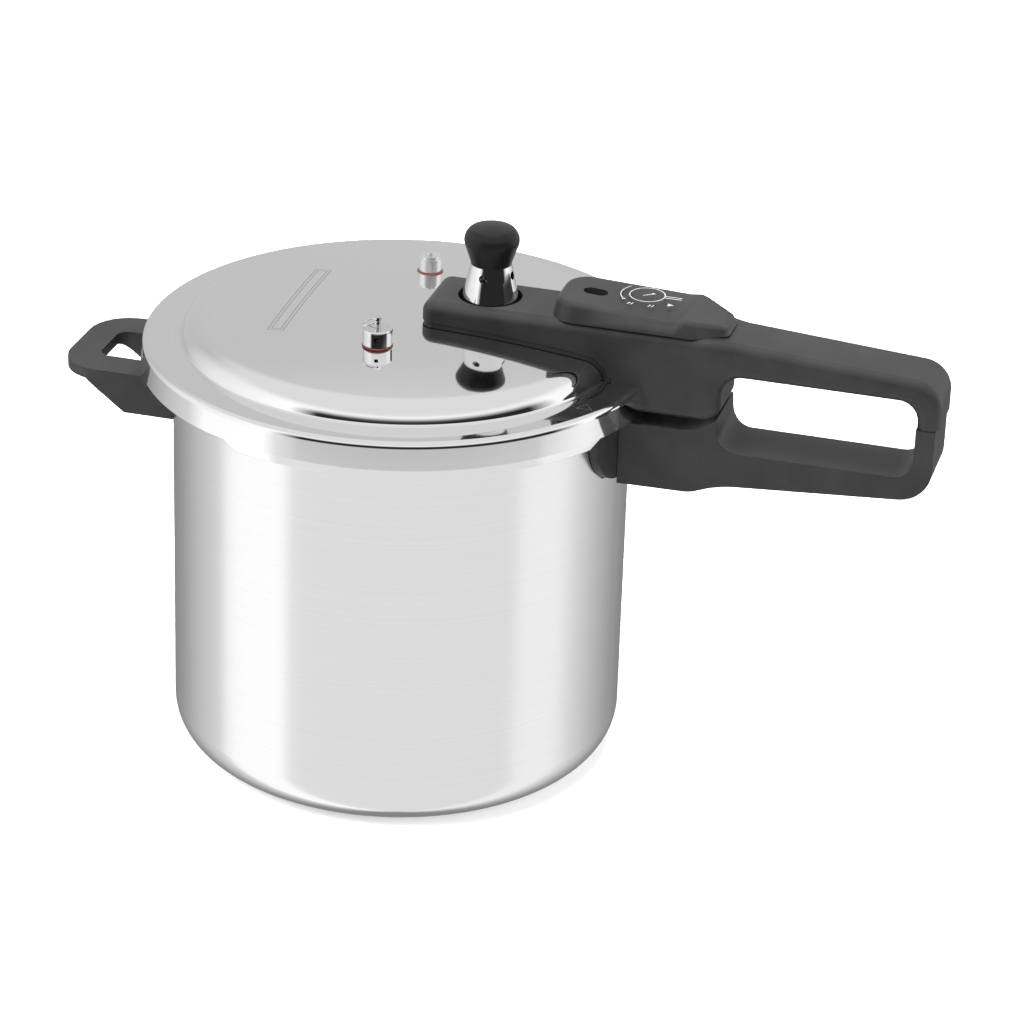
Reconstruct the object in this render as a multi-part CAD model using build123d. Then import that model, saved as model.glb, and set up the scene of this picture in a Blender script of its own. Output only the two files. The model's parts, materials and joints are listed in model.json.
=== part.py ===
from build123d import *
import math
import os

# 22 cm aluminium pressure cooker with a bayonet lid, a loop handle and a helper handle.
# Millimetres. The origin is the centre of the base, +Z is up and +X points along the
# long handle. The lid is shown closed, with its lugs under the lugs of the pot.

# ---------------------------------------------------------------- pot
inner_radius = 110.0        # nominal 22 cm inside
pot_wall = 2.0
base_thickness = 3.2
base_corner_radius = 21.0
flange_top = 203.0          # top of the rolled-out flange of the pot
flange_thickness = 3.0
flange_width = 4.0          # plain flange between the lugs
lug_reach = 9.5             # how far the pot lugs stand out of the wall
lug_count = 6
first_lug_azimuth = 20.0    # a gap between lugs faces the long handle
pot_lug_angle = 26.0

# ---------------------------------------------------------------- lid
lid_wall = 2.2
gasket_height = 9.0
gasket_gap = 0.3            # gasket to pot flange, free to turn
gasket_lip = 1.0            # gasket inside the pot wall
gasket_clearance = 1.0      # gasket to the lid's skirt
dome_sphere_radius = 800.0
dome_rise = 16.0            # top of the dome above the lid flange
lid_land = 30.0             # dome edge to the lid's outside
shoulder_radius = 12.5      # where the dome rolls over into the flange
rim_round = 3.0
skirt_gap = 3.8             # lid skirt to pot lugs, radially
skirt_depth = 13.9          # flange top to the skirt's lower edge between lugs
lid_lug_angle = 30.0
lid_lug_thickness = 2.6
lid_lug_gap = 0.4           # lid lug under pot lug, vertically
lid_lug_clearance = 1.0     # lid lug past the plain flange of the pot, radially

# ---------------------------------------------------------------- vent and weight
vent_inset = 54.5           # dome edge to the vent
vent_stem_radius = 5.0
vent_nozzle_radius = 3.5
vent_nozzle_height = 12.0   # nozzle above the base of the weight
vent_bore_radius = 1.5
vent_nut_flats = 17.0
vent_nut_height = 4.4
vent_head_flats = 15.0
vent_head_height = 4.8
vent_seal_thickness = 0.95
vent_seal_radius = 8.0
vent_screen_radius = 6.4
vent_screen_height = 5.8
weight_clearance = 0.6      # weight above the nut
weight_base_radius = 14.0
weight_top_radius = 9.9
weight_cone_height = 19.2
weight_knob_radius = 13.3
weight_knob_height = 19.0
weight_hole_radius = 2.0
weight_hole_rise = 14.4     # side holes above the base of the weight
weight_hole_azimuth = -5.0
weight_cavity_depth = 17.2
weight_stud_radius = 2.5
weight_stud_length = 9.8    # into the knob
weight_recess_gap = 1.5     # round the weight, in the arm of the handle
needle_gap = 0.3            # needle seat above the nozzle

# ---------------------------------------------------------------- relief valves
valve_offset = 48.4         # from the pot axis
valve_turn = 2.0            # the line of the valves, turned from the Y axis, in degrees
valve_tube_radius = 4.0
valve_tube_drop = 9.4       # tube below the dome's outer face
valve_nut_flats = 12.0
valve_nut_height = 3.6
valve_seat_bore = 1.9
chamber_roof = 1.4
front_valve_radius = 7.2
front_valve_height = 7.5
front_chamber_radius = 5.2
front_seal_height = 1.4     # above the dome at the valve
rear_valve_radius = 5.6
rear_valve_height = 6.2
rear_chamber_radius = 4.0
rear_seal_height = 2.4
stem_radius = 1.2
stem_head_radius = 1.5
stem_clearance = 0.1
ring_radius = 4.0
ring_wire_radius = 0.45
ring_rest_angle = 20.0      # how far the ring hangs below the level at rest
ring_pivot_rise = 3.6       # above the valve's top
spring_wire = 0.25          # radius of the spring wire
spring_turns = 2

# ---------------------------------------------------------------- pressure indicator
float_inset = 2.5           # dome edge to the indicator
float_hole_radius = 3.2
float_bush_radius = 4.5
float_bush_flange = 2.5     # bush above the dome
float_bush_foot = 1.9       # bush below the lid's inside
float_stem_radius = 1.8
float_head_radius = 3.4
float_head_height = 2.6
float_clip_thickness = 0.8
float_cap_radius = 2.7
float_lift = 4.2
float_show = 4.9            # indicator above the arm's top

# ---------------------------------------------------------------- upper handle
handle_half_width = 20.5    # arm and blocks
bar_half_width = 17.0       # gripping bars
arm_overhang = 29.0         # arm past the vent, towards the pot axis
arm_end_round = 11.0
arm_rise = 11.0             # arm's top above the dome's top
lid_gap = 0.3               # moulded handle to lid
recess_rise = 3.5           # floor of the round recess under the weight, above the dome's top
bracket_cover = 2.9         # roof of the pocket over the lid bracket, above the dome's top
pocket_rise = 6.5           # floor of the pocket under the cover, above the dome's top
block_length = 34.5         # lid's outside to the back of the blocks
loop_length = 93.6
loop_rise = 7.9             # top of the loop above the lid flange
loop_corner = 9.5
bar_depth = 10.8            # upper bar at its tip
tip_thickness = 10.9
upper_tip_round = 15.0
lower_tip_round = 18.0
split_gap = 0.4             # between the two halves at the tip
cover_height = 9.5
cover_wall = 2.2
cover_reach = 18.0          # cover past the indicator, towards the pot axis
cover_end_round = 12.0
cover_ramp = 25.0           # length of the slope at the cover's outer end
window_length = 12.0        # oval hole over the indicator
window_width = 7.6

# ---------------------------------------------------------------- lower handle
block_gap = 4.9             # upper block to lower block
lower_block_height = 32.7
loop_drop = 10.3            # bottom of the loop below the lower block's top
lower_bar_depth = 10.2
lower_tip_inset = 1.5       # lower half's tip short of the upper half's
guard_thickness = 3.5
guard_half_angle = 20.3
guard_corner = 24.0
guard_inset = 2.6           # guard's bottom above the block's bottom
wall_gap = 0.3              # moulded parts to pot wall

# ---------------------------------------------------------------- brackets, screws, rivets
bracket_thickness = 2.0
bracket_margin = 3.5        # block's side past the bracket's
rivet_radius = 2.0
rivet_head_radius = 3.4
rivet_head_height = 1.4
rivet_clearance = 0.1
rivet_edge = 4.4            # rivet's axis to the bracket's edge
screw_radius = 2.5
screw_clearance = 0.3
screw_head_radius = 4.6
screw_head_height = 3.0
screw_slot = 1.0            # width and depth of the driver slots
washer_thickness = 1.0
washer_clearance = 0.2
lower_screw_reach = 22.0    # pot wall to the lower handle's screw
lower_tab_thickness = 3.0
lower_boss_radius = 6.0
lower_boss_height = 6.0
lower_post_radius = 8.0
lower_shank_length = 17.0
lid_screw_inset = 13.5      # dome edge to the upper handle's screw
lid_screw_radius = 2.2
lid_boss_radius = 4.6
lid_plate_thickness = 1.6
lid_plate_half_width = 11.0
lid_plate_length = 28.0

# ---------------------------------------------------------------- helper handle
helper_reach = 56.5         # out of the pot wall
helper_thickness = 21.0
helper_tip_thickness = 5.5
helper_half_width = 34.0
helper_hole_half_width = 15.7
helper_hole_length = 30.0
helper_hole_round = 6.0
helper_root = 11.0          # pot wall to the hole
helper_edge_round = 3.0
helper_drop = 6.5           # below the lower block's top
helper_bracket_half_width = 20.0
helper_boss_radius = 5.0
helper_screw_radius = 2.0

# ---------------------------------------------------------------- worked-out values
lug_pitch = 360.0 / lug_count
lug_azimuths = [first_lug_azimuth + lug_pitch * k for k in range(lug_count)]
pot_radius = inner_radius + pot_wall
lug_radius = pot_radius + lug_reach
flange_radius = pot_radius + flange_width
flange_bottom = flange_top - flange_thickness
lid_flange_under = flange_top + gasket_gap + gasket_height
lid_flange_top = lid_flange_under + lid_wall
lid_inner_radius = lug_radius + skirt_gap
lid_radius = lid_inner_radius + lid_wall
dome_edge_radius = lid_radius - lid_land
dome_top = lid_flange_top + dome_rise
skirt_bottom = lid_flange_top - skirt_depth
lid_lug_top = flange_bottom - lid_lug_gap
lid_lug_bottom = lid_lug_top - lid_lug_thickness
lid_lug_inner = flange_radius + lid_lug_clearance

vent_x = dome_edge_radius - vent_inset
float_x = dome_edge_radius - float_inset
lid_screw_x = dome_edge_radius - lid_screw_inset
lid_plate_end = lid_screw_x + lid_boss_radius + 0.4
lid_plate_start = lid_plate_end - lid_plate_length
lid_rivet_places = [(x, side * (lid_plate_half_width - 4.0))
                    for x in (lid_plate_start + 5, lid_plate_start + 15) for side in (-1, 1)]

arm_top = dome_top + arm_rise
arm_end_x = vent_x - arm_overhang
recess_floor = dome_top + recess_rise
under_pocket_top = dome_top + bracket_cover
lid_boss_top = under_pocket_top - 0.4
upper_pocket_floor = dome_top + pocket_rise
upper_block_bottom = lid_lug_bottom + block_gap / 2
cover_top = arm_top + cover_height
cover_start_x = float_x - cover_reach

lower_block_top = lid_lug_bottom - block_gap / 2
lower_block_bottom = lower_block_top - lower_block_height
block_back_x = lid_radius + block_length
cover_end_x = block_back_x + 1.0
loop_left_x = block_back_x
loop_right_x = loop_left_x + loop_length
handle_tip_x = loop_right_x + tip_thickness
lower_tip_x = handle_tip_x - lower_tip_inset
loop_top = lid_flange_top + loop_rise
loop_bottom = lower_block_top - loop_drop
handle_split = (loop_top + loop_bottom) / 2 + 6.7   # level where the two halves meet at the tip
upper_tip_height = loop_top + bar_depth
lower_tip_height = loop_bottom - lower_bar_depth

bracket_half_width = handle_half_width - bracket_margin
bracket_low = lower_block_bottom + 5.2
bracket_high = lower_block_top - 5.5
bracket_face = pot_radius + wall_gap + bracket_thickness
pot_rivet_azimuth = math.degrees(math.asin((bracket_half_width - rivet_edge) / pot_radius))
pot_rivet_places = [(side * pot_rivet_azimuth, height)
                    for side in (-1, 1) for height in (bracket_low + 5, bracket_high - 4.5)]
lower_screw_x = pot_radius + lower_screw_reach
lower_tab_low = bracket_low + 11.0
lower_tab_high = lower_tab_low + lower_tab_thickness
lower_boss_top = lower_tab_high + lower_boss_height
lower_head_seat = lower_tab_low - 8.0
washer_bottom = lower_head_seat - washer_thickness
lower_screw_top = washer_bottom + lower_shank_length

helper_top = lower_block_top - helper_drop
helper_bottom = helper_top - helper_thickness
helper_tip_bottom = helper_top - helper_tip_thickness
helper_screw_height = helper_top - 11.5
helper_tip_x = -(pot_radius + helper_reach)
helper_hole_start_x = -(pot_radius + helper_root)
helper_hole_end_x = helper_hole_start_x - helper_hole_length
helper_boss_end_x = -(pot_radius + 6.5)
helper_head_seat_x = helper_boss_end_x - 2.0
helper_bracket_low = helper_screw_height - 8.5
helper_bracket_high = helper_screw_height + 8.5
helper_rivet_azimuth = math.degrees(math.asin((helper_bracket_half_width - rivet_edge) / pot_radius))
helper_rivet_places = [(180 + side * helper_rivet_azimuth, helper_screw_height + rise)
                       for side in (-1, 1) for rise in (-4.5, 4.5)]


def dome_height(x, y):
    """Height of the dome's outer face at a point of the plan."""
    return dome_top - dome_sphere_radius + math.sqrt(dome_sphere_radius ** 2 - x * x - y * y)


valve_lean = math.radians(valve_turn)
front_x = valve_offset * math.sin(valve_lean)
front_y = -valve_offset * math.cos(valve_lean)
rear_x = -front_x
rear_y = -front_y
valve_dome = dome_height(front_x, front_y)
valve_tube_bottom = valve_dome - valve_tube_drop
valve_nut_high = valve_dome - lid_wall - 1.0
valve_nut_low = valve_nut_high - valve_nut_height
front_seal_top = valve_dome + front_seal_height
front_valve_top = front_seal_top + front_valve_height
front_plug_low = front_seal_top + 1.5
front_plug_high = front_plug_low + 1.2
ring_pivot_height = front_valve_top + ring_pivot_rise
rear_seal_top = valve_dome + rear_seal_height
rear_valve_top = rear_seal_top + rear_valve_height
rear_plug_low = rear_seal_top + 1.1
rear_plug_high = rear_plug_low + 0.9

vent_head_top = dome_height(vent_x, 0) - lid_wall - vent_seal_thickness
vent_head_bottom = vent_head_top - vent_head_height
vent_screen_bottom = vent_head_bottom - vent_screen_height
weight_base = recess_floor + vent_nut_height + weight_clearance
weight_top = weight_base + weight_cone_height
weight_knob_top = weight_top + weight_knob_height
weight_cavity_top = weight_base + weight_cavity_depth
weight_hole_height = weight_base + weight_hole_rise
vent_nozzle_top = weight_base + vent_nozzle_height
needle_seat = vent_nozzle_top + needle_gap
needle_stud_top = weight_top + weight_stud_length

float_dome = dome_height(float_x, 0)
float_bush_top = float_dome + float_bush_flange
float_bush_bottom = float_dome - lid_wall - float_bush_foot
float_top = arm_top + float_show

LOW = (Align.CENTER, Align.CENTER, Align.MIN)


def disc(radius, low, high, x=0.0, y=0.0):
    """Upright cylinder between two heights."""
    return Pos(x, y, low) * Cylinder(radius, high - low, align=LOW)


def tube(outer, inner, low, high, x=0.0, y=0.0):
    """Upright ring between two heights."""
    return disc(outer, low, high, x, y) - disc(inner, low - 1, high + 1, x, y)


def block(x0, x1, half_width, low, high):
    """Box that is symmetric about the XZ plane."""
    return Pos((x0 + x1) / 2, 0, (low + high) / 2) * Box(x1 - x0, 2 * half_width, high - low)


def hexagon(flats, low, high, x=0.0, y=0.0):
    """Upright hexagonal prism of a given width across flats."""
    return Pos(x, y, low) * extrude(RegularPolygon(flats / math.sqrt(3), 6), high - low)


def ring_sector(inner, outer, low, high, centre, width):
    """Part of an upright ring, centred on an azimuth, in degrees."""
    section = Plane.XZ * Pos((inner + outer) / 2, (low + high) / 2) * Rectangle(outer - inner, high - low)
    return Rot(0, 0, centre - width / 2) * revolve(section, Axis.Z, width)


def side_profile(half_width, *edges):
    """Solid extruded both ways along Y from an outline in the XZ plane."""
    outline = Plane.XZ * make_face(Curve() + list(edges))
    return extrude(outline, half_width, both=True)


def plan_outline(points, low, high):
    """Solid between two heights from an outline seen from above."""
    return Pos(0, 0, low) * extrude(make_face(Polyline(*points, close=True)), high - low)


def radial_pin(radius, start, end, azimuth, height):
    """Cylinder along a radius of the pot."""
    pin = Cylinder(radius, end - start, align=LOW)
    return Rot(0, 0, azimuth) * Pos(start, 0, height) * Rot(0, 90, 0) * pin


# ---------------------------------------------------------------- lid forms
def lid_curve(offset):
    """Edges of the lid's outside from the axis to the skirt, grown or shrunk by an offset."""
    sphere = dome_sphere_radius + offset
    sphere_z = dome_top - dome_sphere_radius
    roll = shoulder_radius + offset
    lean = math.asin(dome_edge_radius / dome_sphere_radius)
    centre_r = dome_edge_radius - shoulder_radius * math.sin(lean)
    centre_z = sphere_z + (dome_sphere_radius - shoulder_radius) * math.cos(lean)
    flange_z = lid_flange_top + offset
    foot = math.acos((flange_z - centre_z) / roll)
    outer = lid_radius + offset
    corner = rim_round + offset
    turned = corner * (1 - math.sqrt(0.5))

    def on_dome(angle):
        return (sphere * math.sin(angle), sphere_z + sphere * math.cos(angle))

    def on_roll(angle):
        return (centre_r + roll * math.sin(angle), centre_z + roll * math.cos(angle))

    return [
        ThreePointArc(on_dome(0), on_dome(lean / 2), on_dome(lean)),
        ThreePointArc(on_roll(lean), on_roll((lean + foot) / 2), on_roll(foot)),
        Line(on_roll(foot), (outer - corner, flange_z)),
        ThreePointArc((outer - corner, flange_z), (outer - turned, flange_z - turned),
                      (outer, flange_z - corner)),
    ]


def lid_form(offset):
    """Filled shape of the lid's outside, grown or shrunk by an offset."""
    curve = lid_curve(offset)
    start = curve[0] @ 0
    end = curve[-1] @ 1
    closing = Polyline((end.X, end.Y), (end.X, skirt_bottom), (0, skirt_bottom), (0, start.Y))
    return revolve(Plane.XZ * make_face(Curve() + curve + [closing]), Axis.Z)


def seal_over_lid(inner, outer, top, x, y):
    """Washer that sits on the dome and is level on top."""
    return tube(outer, inner, skirt_bottom, top, x, y) - lid_form(0)


def seal_under_lid(inner, outer, bottom, x, y):
    """Washer that fits under the dome and is level below."""
    return tube(outer, inner, bottom, dome_top, x, y) & lid_form(-lid_wall)


# ---------------------------------------------------------------- pot
def make_pot_body():
    inner_corner = base_corner_radius - pot_wall
    soften = 1 - math.sqrt(0.5)
    outer_arc = ThreePointArc(
        (pot_radius - base_corner_radius, 0),
        (pot_radius - base_corner_radius * soften, base_corner_radius * soften),
        (pot_radius, base_corner_radius))
    inner_arc = ThreePointArc(
        (inner_radius, base_thickness + inner_corner),
        (inner_radius - inner_corner * soften, base_thickness + inner_corner * soften),
        (inner_radius - inner_corner, base_thickness))
    rim = Polyline((pot_radius, base_corner_radius), (pot_radius, flange_bottom),
                   (lug_radius, flange_bottom), (lug_radius, flange_top),
                   (inner_radius, flange_top), (inner_radius, base_thickness + inner_corner))
    floor = Polyline((inner_radius - inner_corner, base_thickness), (0, base_thickness), (0, 0),
                     (pot_radius - base_corner_radius, 0))
    body = revolve(Plane.XZ * make_face(Curve() + [outer_arc, rim, inner_arc, floor]), Axis.Z)
    for azimuth in lug_azimuths:
        body -= ring_sector(flange_radius, lug_radius + 1, flange_bottom - 1, flange_top + 1,
                            azimuth + lug_pitch / 2, lug_pitch - pot_lug_angle)
    for azimuth, height in pot_rivet_places + helper_rivet_places:
        body -= radial_pin(rivet_radius + rivet_clearance, inner_radius - 5, pot_radius + 5, azimuth, height)
    return body


def make_rivets(places):
    """Radial rivets through the pot wall and a bracket."""
    rivets = []
    for azimuth, height in places:
        shank = radial_pin(rivet_radius, inner_radius - 0.2, bracket_face + 0.2, azimuth, height)
        inside = radial_pin(rivet_head_radius, inner_radius - 0.2 - rivet_head_height, inner_radius - 0.2,
                            azimuth, height)
        outside = radial_pin(rivet_head_radius, bracket_face + 0.2, bracket_face + 0.2 + rivet_head_height,
                             azimuth, height)
        rivets.append(shank + inside + outside)
    return Compound(children=rivets)


def bracket_plate(half_width, low, high, centre):
    """Curved plate that hugs the pot wall."""
    angle = 2 * math.degrees(math.asin(half_width / pot_radius))
    inside = pot_radius + wall_gap
    return ring_sector(inside, inside + bracket_thickness, low, high, centre, angle)


# ---------------------------------------------------------------- lower handle hardware

def make_pot_bracket():
    tab_end = lower_screw_x + lower_boss_radius + 1
    plate = bracket_plate(bracket_half_width, bracket_low, bracket_high, 0)
    tab = block(pot_radius + wall_gap + 1, tab_end, lower_boss_radius + 1, lower_tab_low, lower_tab_high)
    boss = disc(lower_boss_radius, lower_tab_high, lower_boss_top, lower_screw_x)
    bracket = plate + tab + boss
    bracket -= disc(screw_radius + rivet_clearance, lower_tab_low - 1, lower_boss_top + 1, lower_screw_x)
    for azimuth, height in pot_rivet_places:
        bracket -= radial_pin(rivet_radius + rivet_clearance, pot_radius, pot_radius + 5, azimuth, height)
    return bracket


def lower_pocket():
    """Space inside the lower handle for the bracket and its rivets."""
    high = bracket_high + 1
    low = bracket_low - 1
    end = lower_screw_x + lower_boss_radius + 2
    space = block(pot_radius - 5, end, bracket_half_width + 1, low, high)
    return space - disc(lower_post_radius, low - 1, lower_tab_low - washer_clearance, lower_screw_x)


def lower_outline():
    """Outline of the lower handle in the XZ plane, with the loop's lower half cut out."""
    start = pot_radius - 4
    r = loop_corner
    fin_x = loop_left_x - 1.0
    fin_top = lower_block_top + 6.5
    end_top = handle_split - split_gap / 2
    fin_start = block_back_x - 12
    slope_start = block_back_x + 8
    lower_right = loop_right_x - 6
    return [
        Line((start, lower_block_top), (fin_start, lower_block_top)),
        ThreePointArc((fin_start, lower_block_top), (fin_start + 7.6, lower_block_top + 2.2), (fin_x, fin_top)),
        Line((fin_x, fin_top), (loop_left_x, loop_bottom + r)),
        RadiusArc((loop_left_x, loop_bottom + r), (loop_left_x + r, loop_bottom), -r),
        Line((loop_left_x + r, loop_bottom), (loop_right_x - r, loop_bottom)),
        RadiusArc((loop_right_x - r, loop_bottom), (loop_right_x, loop_bottom + r), -r),
        Polyline((loop_right_x, loop_bottom + r), (loop_right_x, end_top), (lower_tip_x, end_top),
                 (lower_tip_x, lower_tip_height + lower_tip_round)),
        ThreePointArc((lower_tip_x, lower_tip_height + lower_tip_round),
                      (lower_tip_x - 5.6, lower_tip_height + 4.6), (lower_right, lower_tip_height)),
        Polyline((lower_right, lower_tip_height), (slope_start, lower_block_bottom + 5.0),
                 (block_back_x - 4, lower_block_bottom + 3.6), (fin_start, lower_block_bottom + 0.6),
                 (pot_radius + 8, lower_block_bottom), (start, lower_block_bottom), (start, lower_block_top)),
    ]


def handle_plan(tip_x, start_x, low, high):
    """Plan envelope of the long handle: wide at the blocks, narrower along the bars."""
    neck_start = block_back_x - 9
    neck_end = block_back_x + 6
    tip_cut = 7.0
    half = [
        (start_x, handle_half_width), (neck_start, handle_half_width), (neck_end, bar_half_width),
        (tip_x - tip_cut, bar_half_width), (tip_x, bar_half_width - tip_cut),
    ]
    mirrored = [(x, -y) for x, y in reversed(half)]
    return plan_outline(half + mirrored, low, high)


def make_lower_handle():
    body = side_profile(handle_half_width + 1, *lower_outline())
    body &= handle_plan(lower_tip_x, pot_radius - 6, lower_block_bottom - 5, handle_split + 5)
    body -= disc(pot_radius + wall_gap + guard_thickness + wall_gap, lower_block_bottom - 5, handle_split)
    body -= lower_pocket()
    body -= disc(screw_radius + screw_clearance, lower_block_bottom - 5, lower_tab_low + 1, lower_screw_x)
    body -= disc(screw_head_radius + 0.8, lower_block_bottom - 5, lower_head_seat, lower_screw_x)
    return body


def make_lower_handle_guard():
    inside = pot_radius + wall_gap
    outside = inside + guard_thickness
    low = lower_block_bottom + guard_inset
    reach = outside * math.sin(math.radians(guard_half_angle))
    shell = ring_sector(inside, outside, low, lower_block_top, 0, 2 * guard_half_angle + 4)
    shield = Plane.YZ * Pos(0, (low + lower_block_top) / 2) * Rectangle(2 * reach, lower_block_top - low)
    slab = extrude(shield, pot_radius + 20)
    lower_edges = slab.edges().filter_by(Axis.X).group_by(Axis.Z)[0]
    slab = fillet(lower_edges, guard_corner)
    window = block(pot_radius - 5, pot_radius + 20, bracket_half_width + 1, bracket_low - 1, bracket_high + 1)
    return (shell & slab) - window


def make_lower_handle_screw():
    shank = disc(screw_radius, washer_bottom, lower_screw_top, lower_screw_x)
    head = disc(screw_head_radius - 0.4, washer_bottom - screw_head_height, washer_bottom, lower_screw_x)
    slot = block(lower_screw_x - screw_head_radius, lower_screw_x + screw_head_radius, screw_slot / 2,
                 washer_bottom - screw_head_height - 1, washer_bottom - screw_head_height + screw_slot)
    return shank + head - slot


def make_lower_handle_washer():
    return tube(screw_head_radius + 0.4, screw_radius + rivet_clearance,
                washer_bottom, lower_head_seat, lower_screw_x)


# ---------------------------------------------------------------- helper handle

def helper_axis_pin(radius, start_x, end_x):
    """Cylinder along X at the height of the helper screw, from start_x outwards to end_x."""
    return Pos(start_x, 0, helper_screw_height) * Rot(0, -90, 0) * Cylinder(radius, start_x - end_x, align=LOW)


def make_helper_bracket():
    plate = bracket_plate(helper_bracket_half_width, helper_bracket_low, helper_bracket_high, 180)
    boss = helper_axis_pin(helper_boss_radius, -(pot_radius + 1), helper_boss_end_x)
    bracket = plate + boss
    bracket -= helper_axis_pin(helper_screw_radius + rivet_clearance, -pot_radius, helper_boss_end_x - 1)
    for azimuth, height in helper_rivet_places:
        bracket -= radial_pin(rivet_radius + rivet_clearance, pot_radius, pot_radius + 5, azimuth, height)
    return bracket


def make_helper_handle():
    low_kink_x = -(pot_radius + 20.7)
    high_kink_x = helper_hole_end_x
    start = -(pot_radius - 14)
    body = side_profile(
        helper_half_width,
        Polyline((start, helper_top), (helper_tip_x, helper_top), (helper_tip_x - 0.6, helper_tip_bottom),
                 (high_kink_x, helper_tip_bottom), (low_kink_x, helper_bottom + 0.6),
                 (start, helper_bottom), (start, helper_top)))
    half = [(start, helper_half_width), (helper_tip_x + 18.5, helper_half_width),
            (helper_tip_x + 10.5, helper_half_width - 2.5), (helper_tip_x + 3.5, helper_half_width - 12),
            (helper_tip_x, 9)]
    mirrored = [(x, -y) for x, y in reversed(half)]
    body &= plan_outline(half + mirrored, helper_bottom - 5, helper_top + 5)
    hole = Box(helper_hole_length, 2 * helper_hole_half_width, 3 * helper_thickness)
    hole = fillet(hole.edges().filter_by(Axis.Z), helper_hole_round)
    body -= Pos(helper_hole_start_x - helper_hole_length / 2, 0, helper_top - helper_thickness / 2) * hole
    body -= disc(pot_radius + wall_gap, helper_bottom - 5, helper_top + 5)
    pocket_end = bracket_face + rivet_head_height + 0.8
    pocket_low = helper_bracket_low - 0.5
    pocket_high = helper_bracket_high + 0.5
    body -= disc(pocket_end, pocket_low, pocket_high) & block(
        -pot_radius - 20, 0, helper_bracket_half_width + 1, pocket_low, pocket_high)
    body -= helper_axis_pin(helper_boss_radius + screw_clearance, start, helper_boss_end_x - 0.3)
    body -= helper_axis_pin(helper_screw_radius + screw_clearance, start, helper_hole_start_x - 2)
    body -= helper_axis_pin(screw_head_radius, helper_head_seat_x, helper_hole_start_x - 2)
    top_edges = body.faces().sort_by(Axis.Z)[-1].outer_wire().edges()
    outer_top = [edge for edge in top_edges if edge.center().X < -pot_radius - 3]
    return fillet(outer_top, helper_edge_round)


def make_helper_screw():
    head_end = helper_head_seat_x - 2.2
    shank = helper_axis_pin(helper_screw_radius, -(pot_radius + 1.5), helper_head_seat_x - 1)
    head = helper_axis_pin(screw_head_radius - 0.6, helper_head_seat_x, head_end)
    slot = Pos(head_end, 0, helper_screw_height) * Box(2 * screw_slot, 20, screw_slot)
    return shank + head - slot


# ---------------------------------------------------------------- lid

def make_lid_shell():
    outside = lid_curve(0)
    inside = lid_curve(-lid_wall)
    outer_end = outside[-1] @ 1
    inner_end = inside[-1] @ 1
    axis_line = Line((0, dome_top), (0, dome_top - lid_wall))
    skirt = Polyline((outer_end.X, outer_end.Y), (lid_radius, lid_lug_bottom), (lid_lug_inner, lid_lug_bottom),
                     (lid_lug_inner, lid_lug_top), (lid_inner_radius, lid_lug_top), (inner_end.X, inner_end.Y))
    shell = revolve(Plane.XZ * make_face(Curve() + outside + [skirt] + inside + [axis_line]), Axis.Z)
    for azimuth in lug_azimuths:
        shell -= ring_sector(lid_lug_inner - 1, lid_radius + 1, lid_lug_bottom - 1, skirt_bottom,
                             azimuth + lug_pitch / 2, lug_pitch - lid_lug_angle)
    shell -= disc(vent_stem_radius + 0.2, skirt_bottom, dome_top + 5, vent_x)
    shell -= disc(float_hole_radius, skirt_bottom + 15, dome_top + 5, float_x)
    for x, y in ((front_x, front_y), (rear_x, rear_y)):
        shell -= disc(valve_tube_radius + 0.2, skirt_bottom, dome_top + 5, x, y)
    for x, y in lid_rivet_places:
        shell -= disc(rivet_radius + rivet_clearance, skirt_bottom + 15, dome_top + 5, x, y)
    return shell


def make_gasket():
    outer = lid_inner_radius - gasket_clearance
    low = flange_top + gasket_gap
    high = lid_flange_under
    groove = tube(outer - 5, inner_radius - 5, low + 3, high - 3)
    return tube(outer, inner_radius - gasket_lip, low, high) - groove


def make_lid_bracket():
    skin = lid_form(lid_plate_thickness) - lid_form(0.1)
    plate = skin & block(lid_plate_start, lid_plate_end, lid_plate_half_width, skirt_bottom, dome_top + 5)
    boss = disc(lid_boss_radius, skirt_bottom, lid_boss_top, lid_screw_x) - lid_form(lid_plate_thickness / 2)
    bracket = plate + boss
    bracket -= disc(lid_screw_radius + rivet_clearance, skirt_bottom, lid_boss_top + 5, lid_screw_x)
    for x, y in lid_rivet_places:
        bracket -= disc(rivet_radius + rivet_clearance, skirt_bottom, dome_top + 5, x, y)
    return bracket


def make_lid_bracket_rivets():
    rivets = []
    for x, y in lid_rivet_places:
        face = dome_height(x, y)
        top = face + lid_plate_thickness + 0.3
        bottom = face - lid_wall - 0.5
        shank = disc(rivet_radius, bottom, top, x, y)
        upper = disc(rivet_head_radius - 0.4, top, top + 1.0, x, y)
        lower = disc(rivet_head_radius, bottom - rivet_head_height, bottom, x, y)
        rivets.append(shank + upper + lower)
    return Compound(children=rivets)


def make_lid_handle_screw():
    shank = disc(lid_screw_radius, lid_boss_top - 4, upper_pocket_floor, lid_screw_x)
    head = disc(screw_head_radius - 0.6, upper_pocket_floor, upper_pocket_floor + 2.6, lid_screw_x)
    slot = block(lid_screw_x - 6, lid_screw_x + 6, screw_slot / 2, upper_pocket_floor + 2.6 - screw_slot,
                 upper_pocket_floor + 5)
    return shank + head - slot


# ---------------------------------------------------------------- vent
def make_vent_pipe():
    head = hexagon(vent_head_flats, vent_head_bottom, vent_head_top, vent_x)
    stem = disc(vent_stem_radius, vent_head_bottom, recess_floor + vent_nut_height + 1.6, vent_x)
    nozzle = disc(vent_nozzle_radius, vent_head_top, vent_nozzle_top, vent_x)
    return head + stem + nozzle - disc(vent_bore_radius, vent_head_bottom - 1, vent_nozzle_top + 1, vent_x)


def make_vent_seal():
    return seal_under_lid(vent_stem_radius + 0.1, vent_seal_radius, vent_head_top, vent_x, 0)


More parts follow.
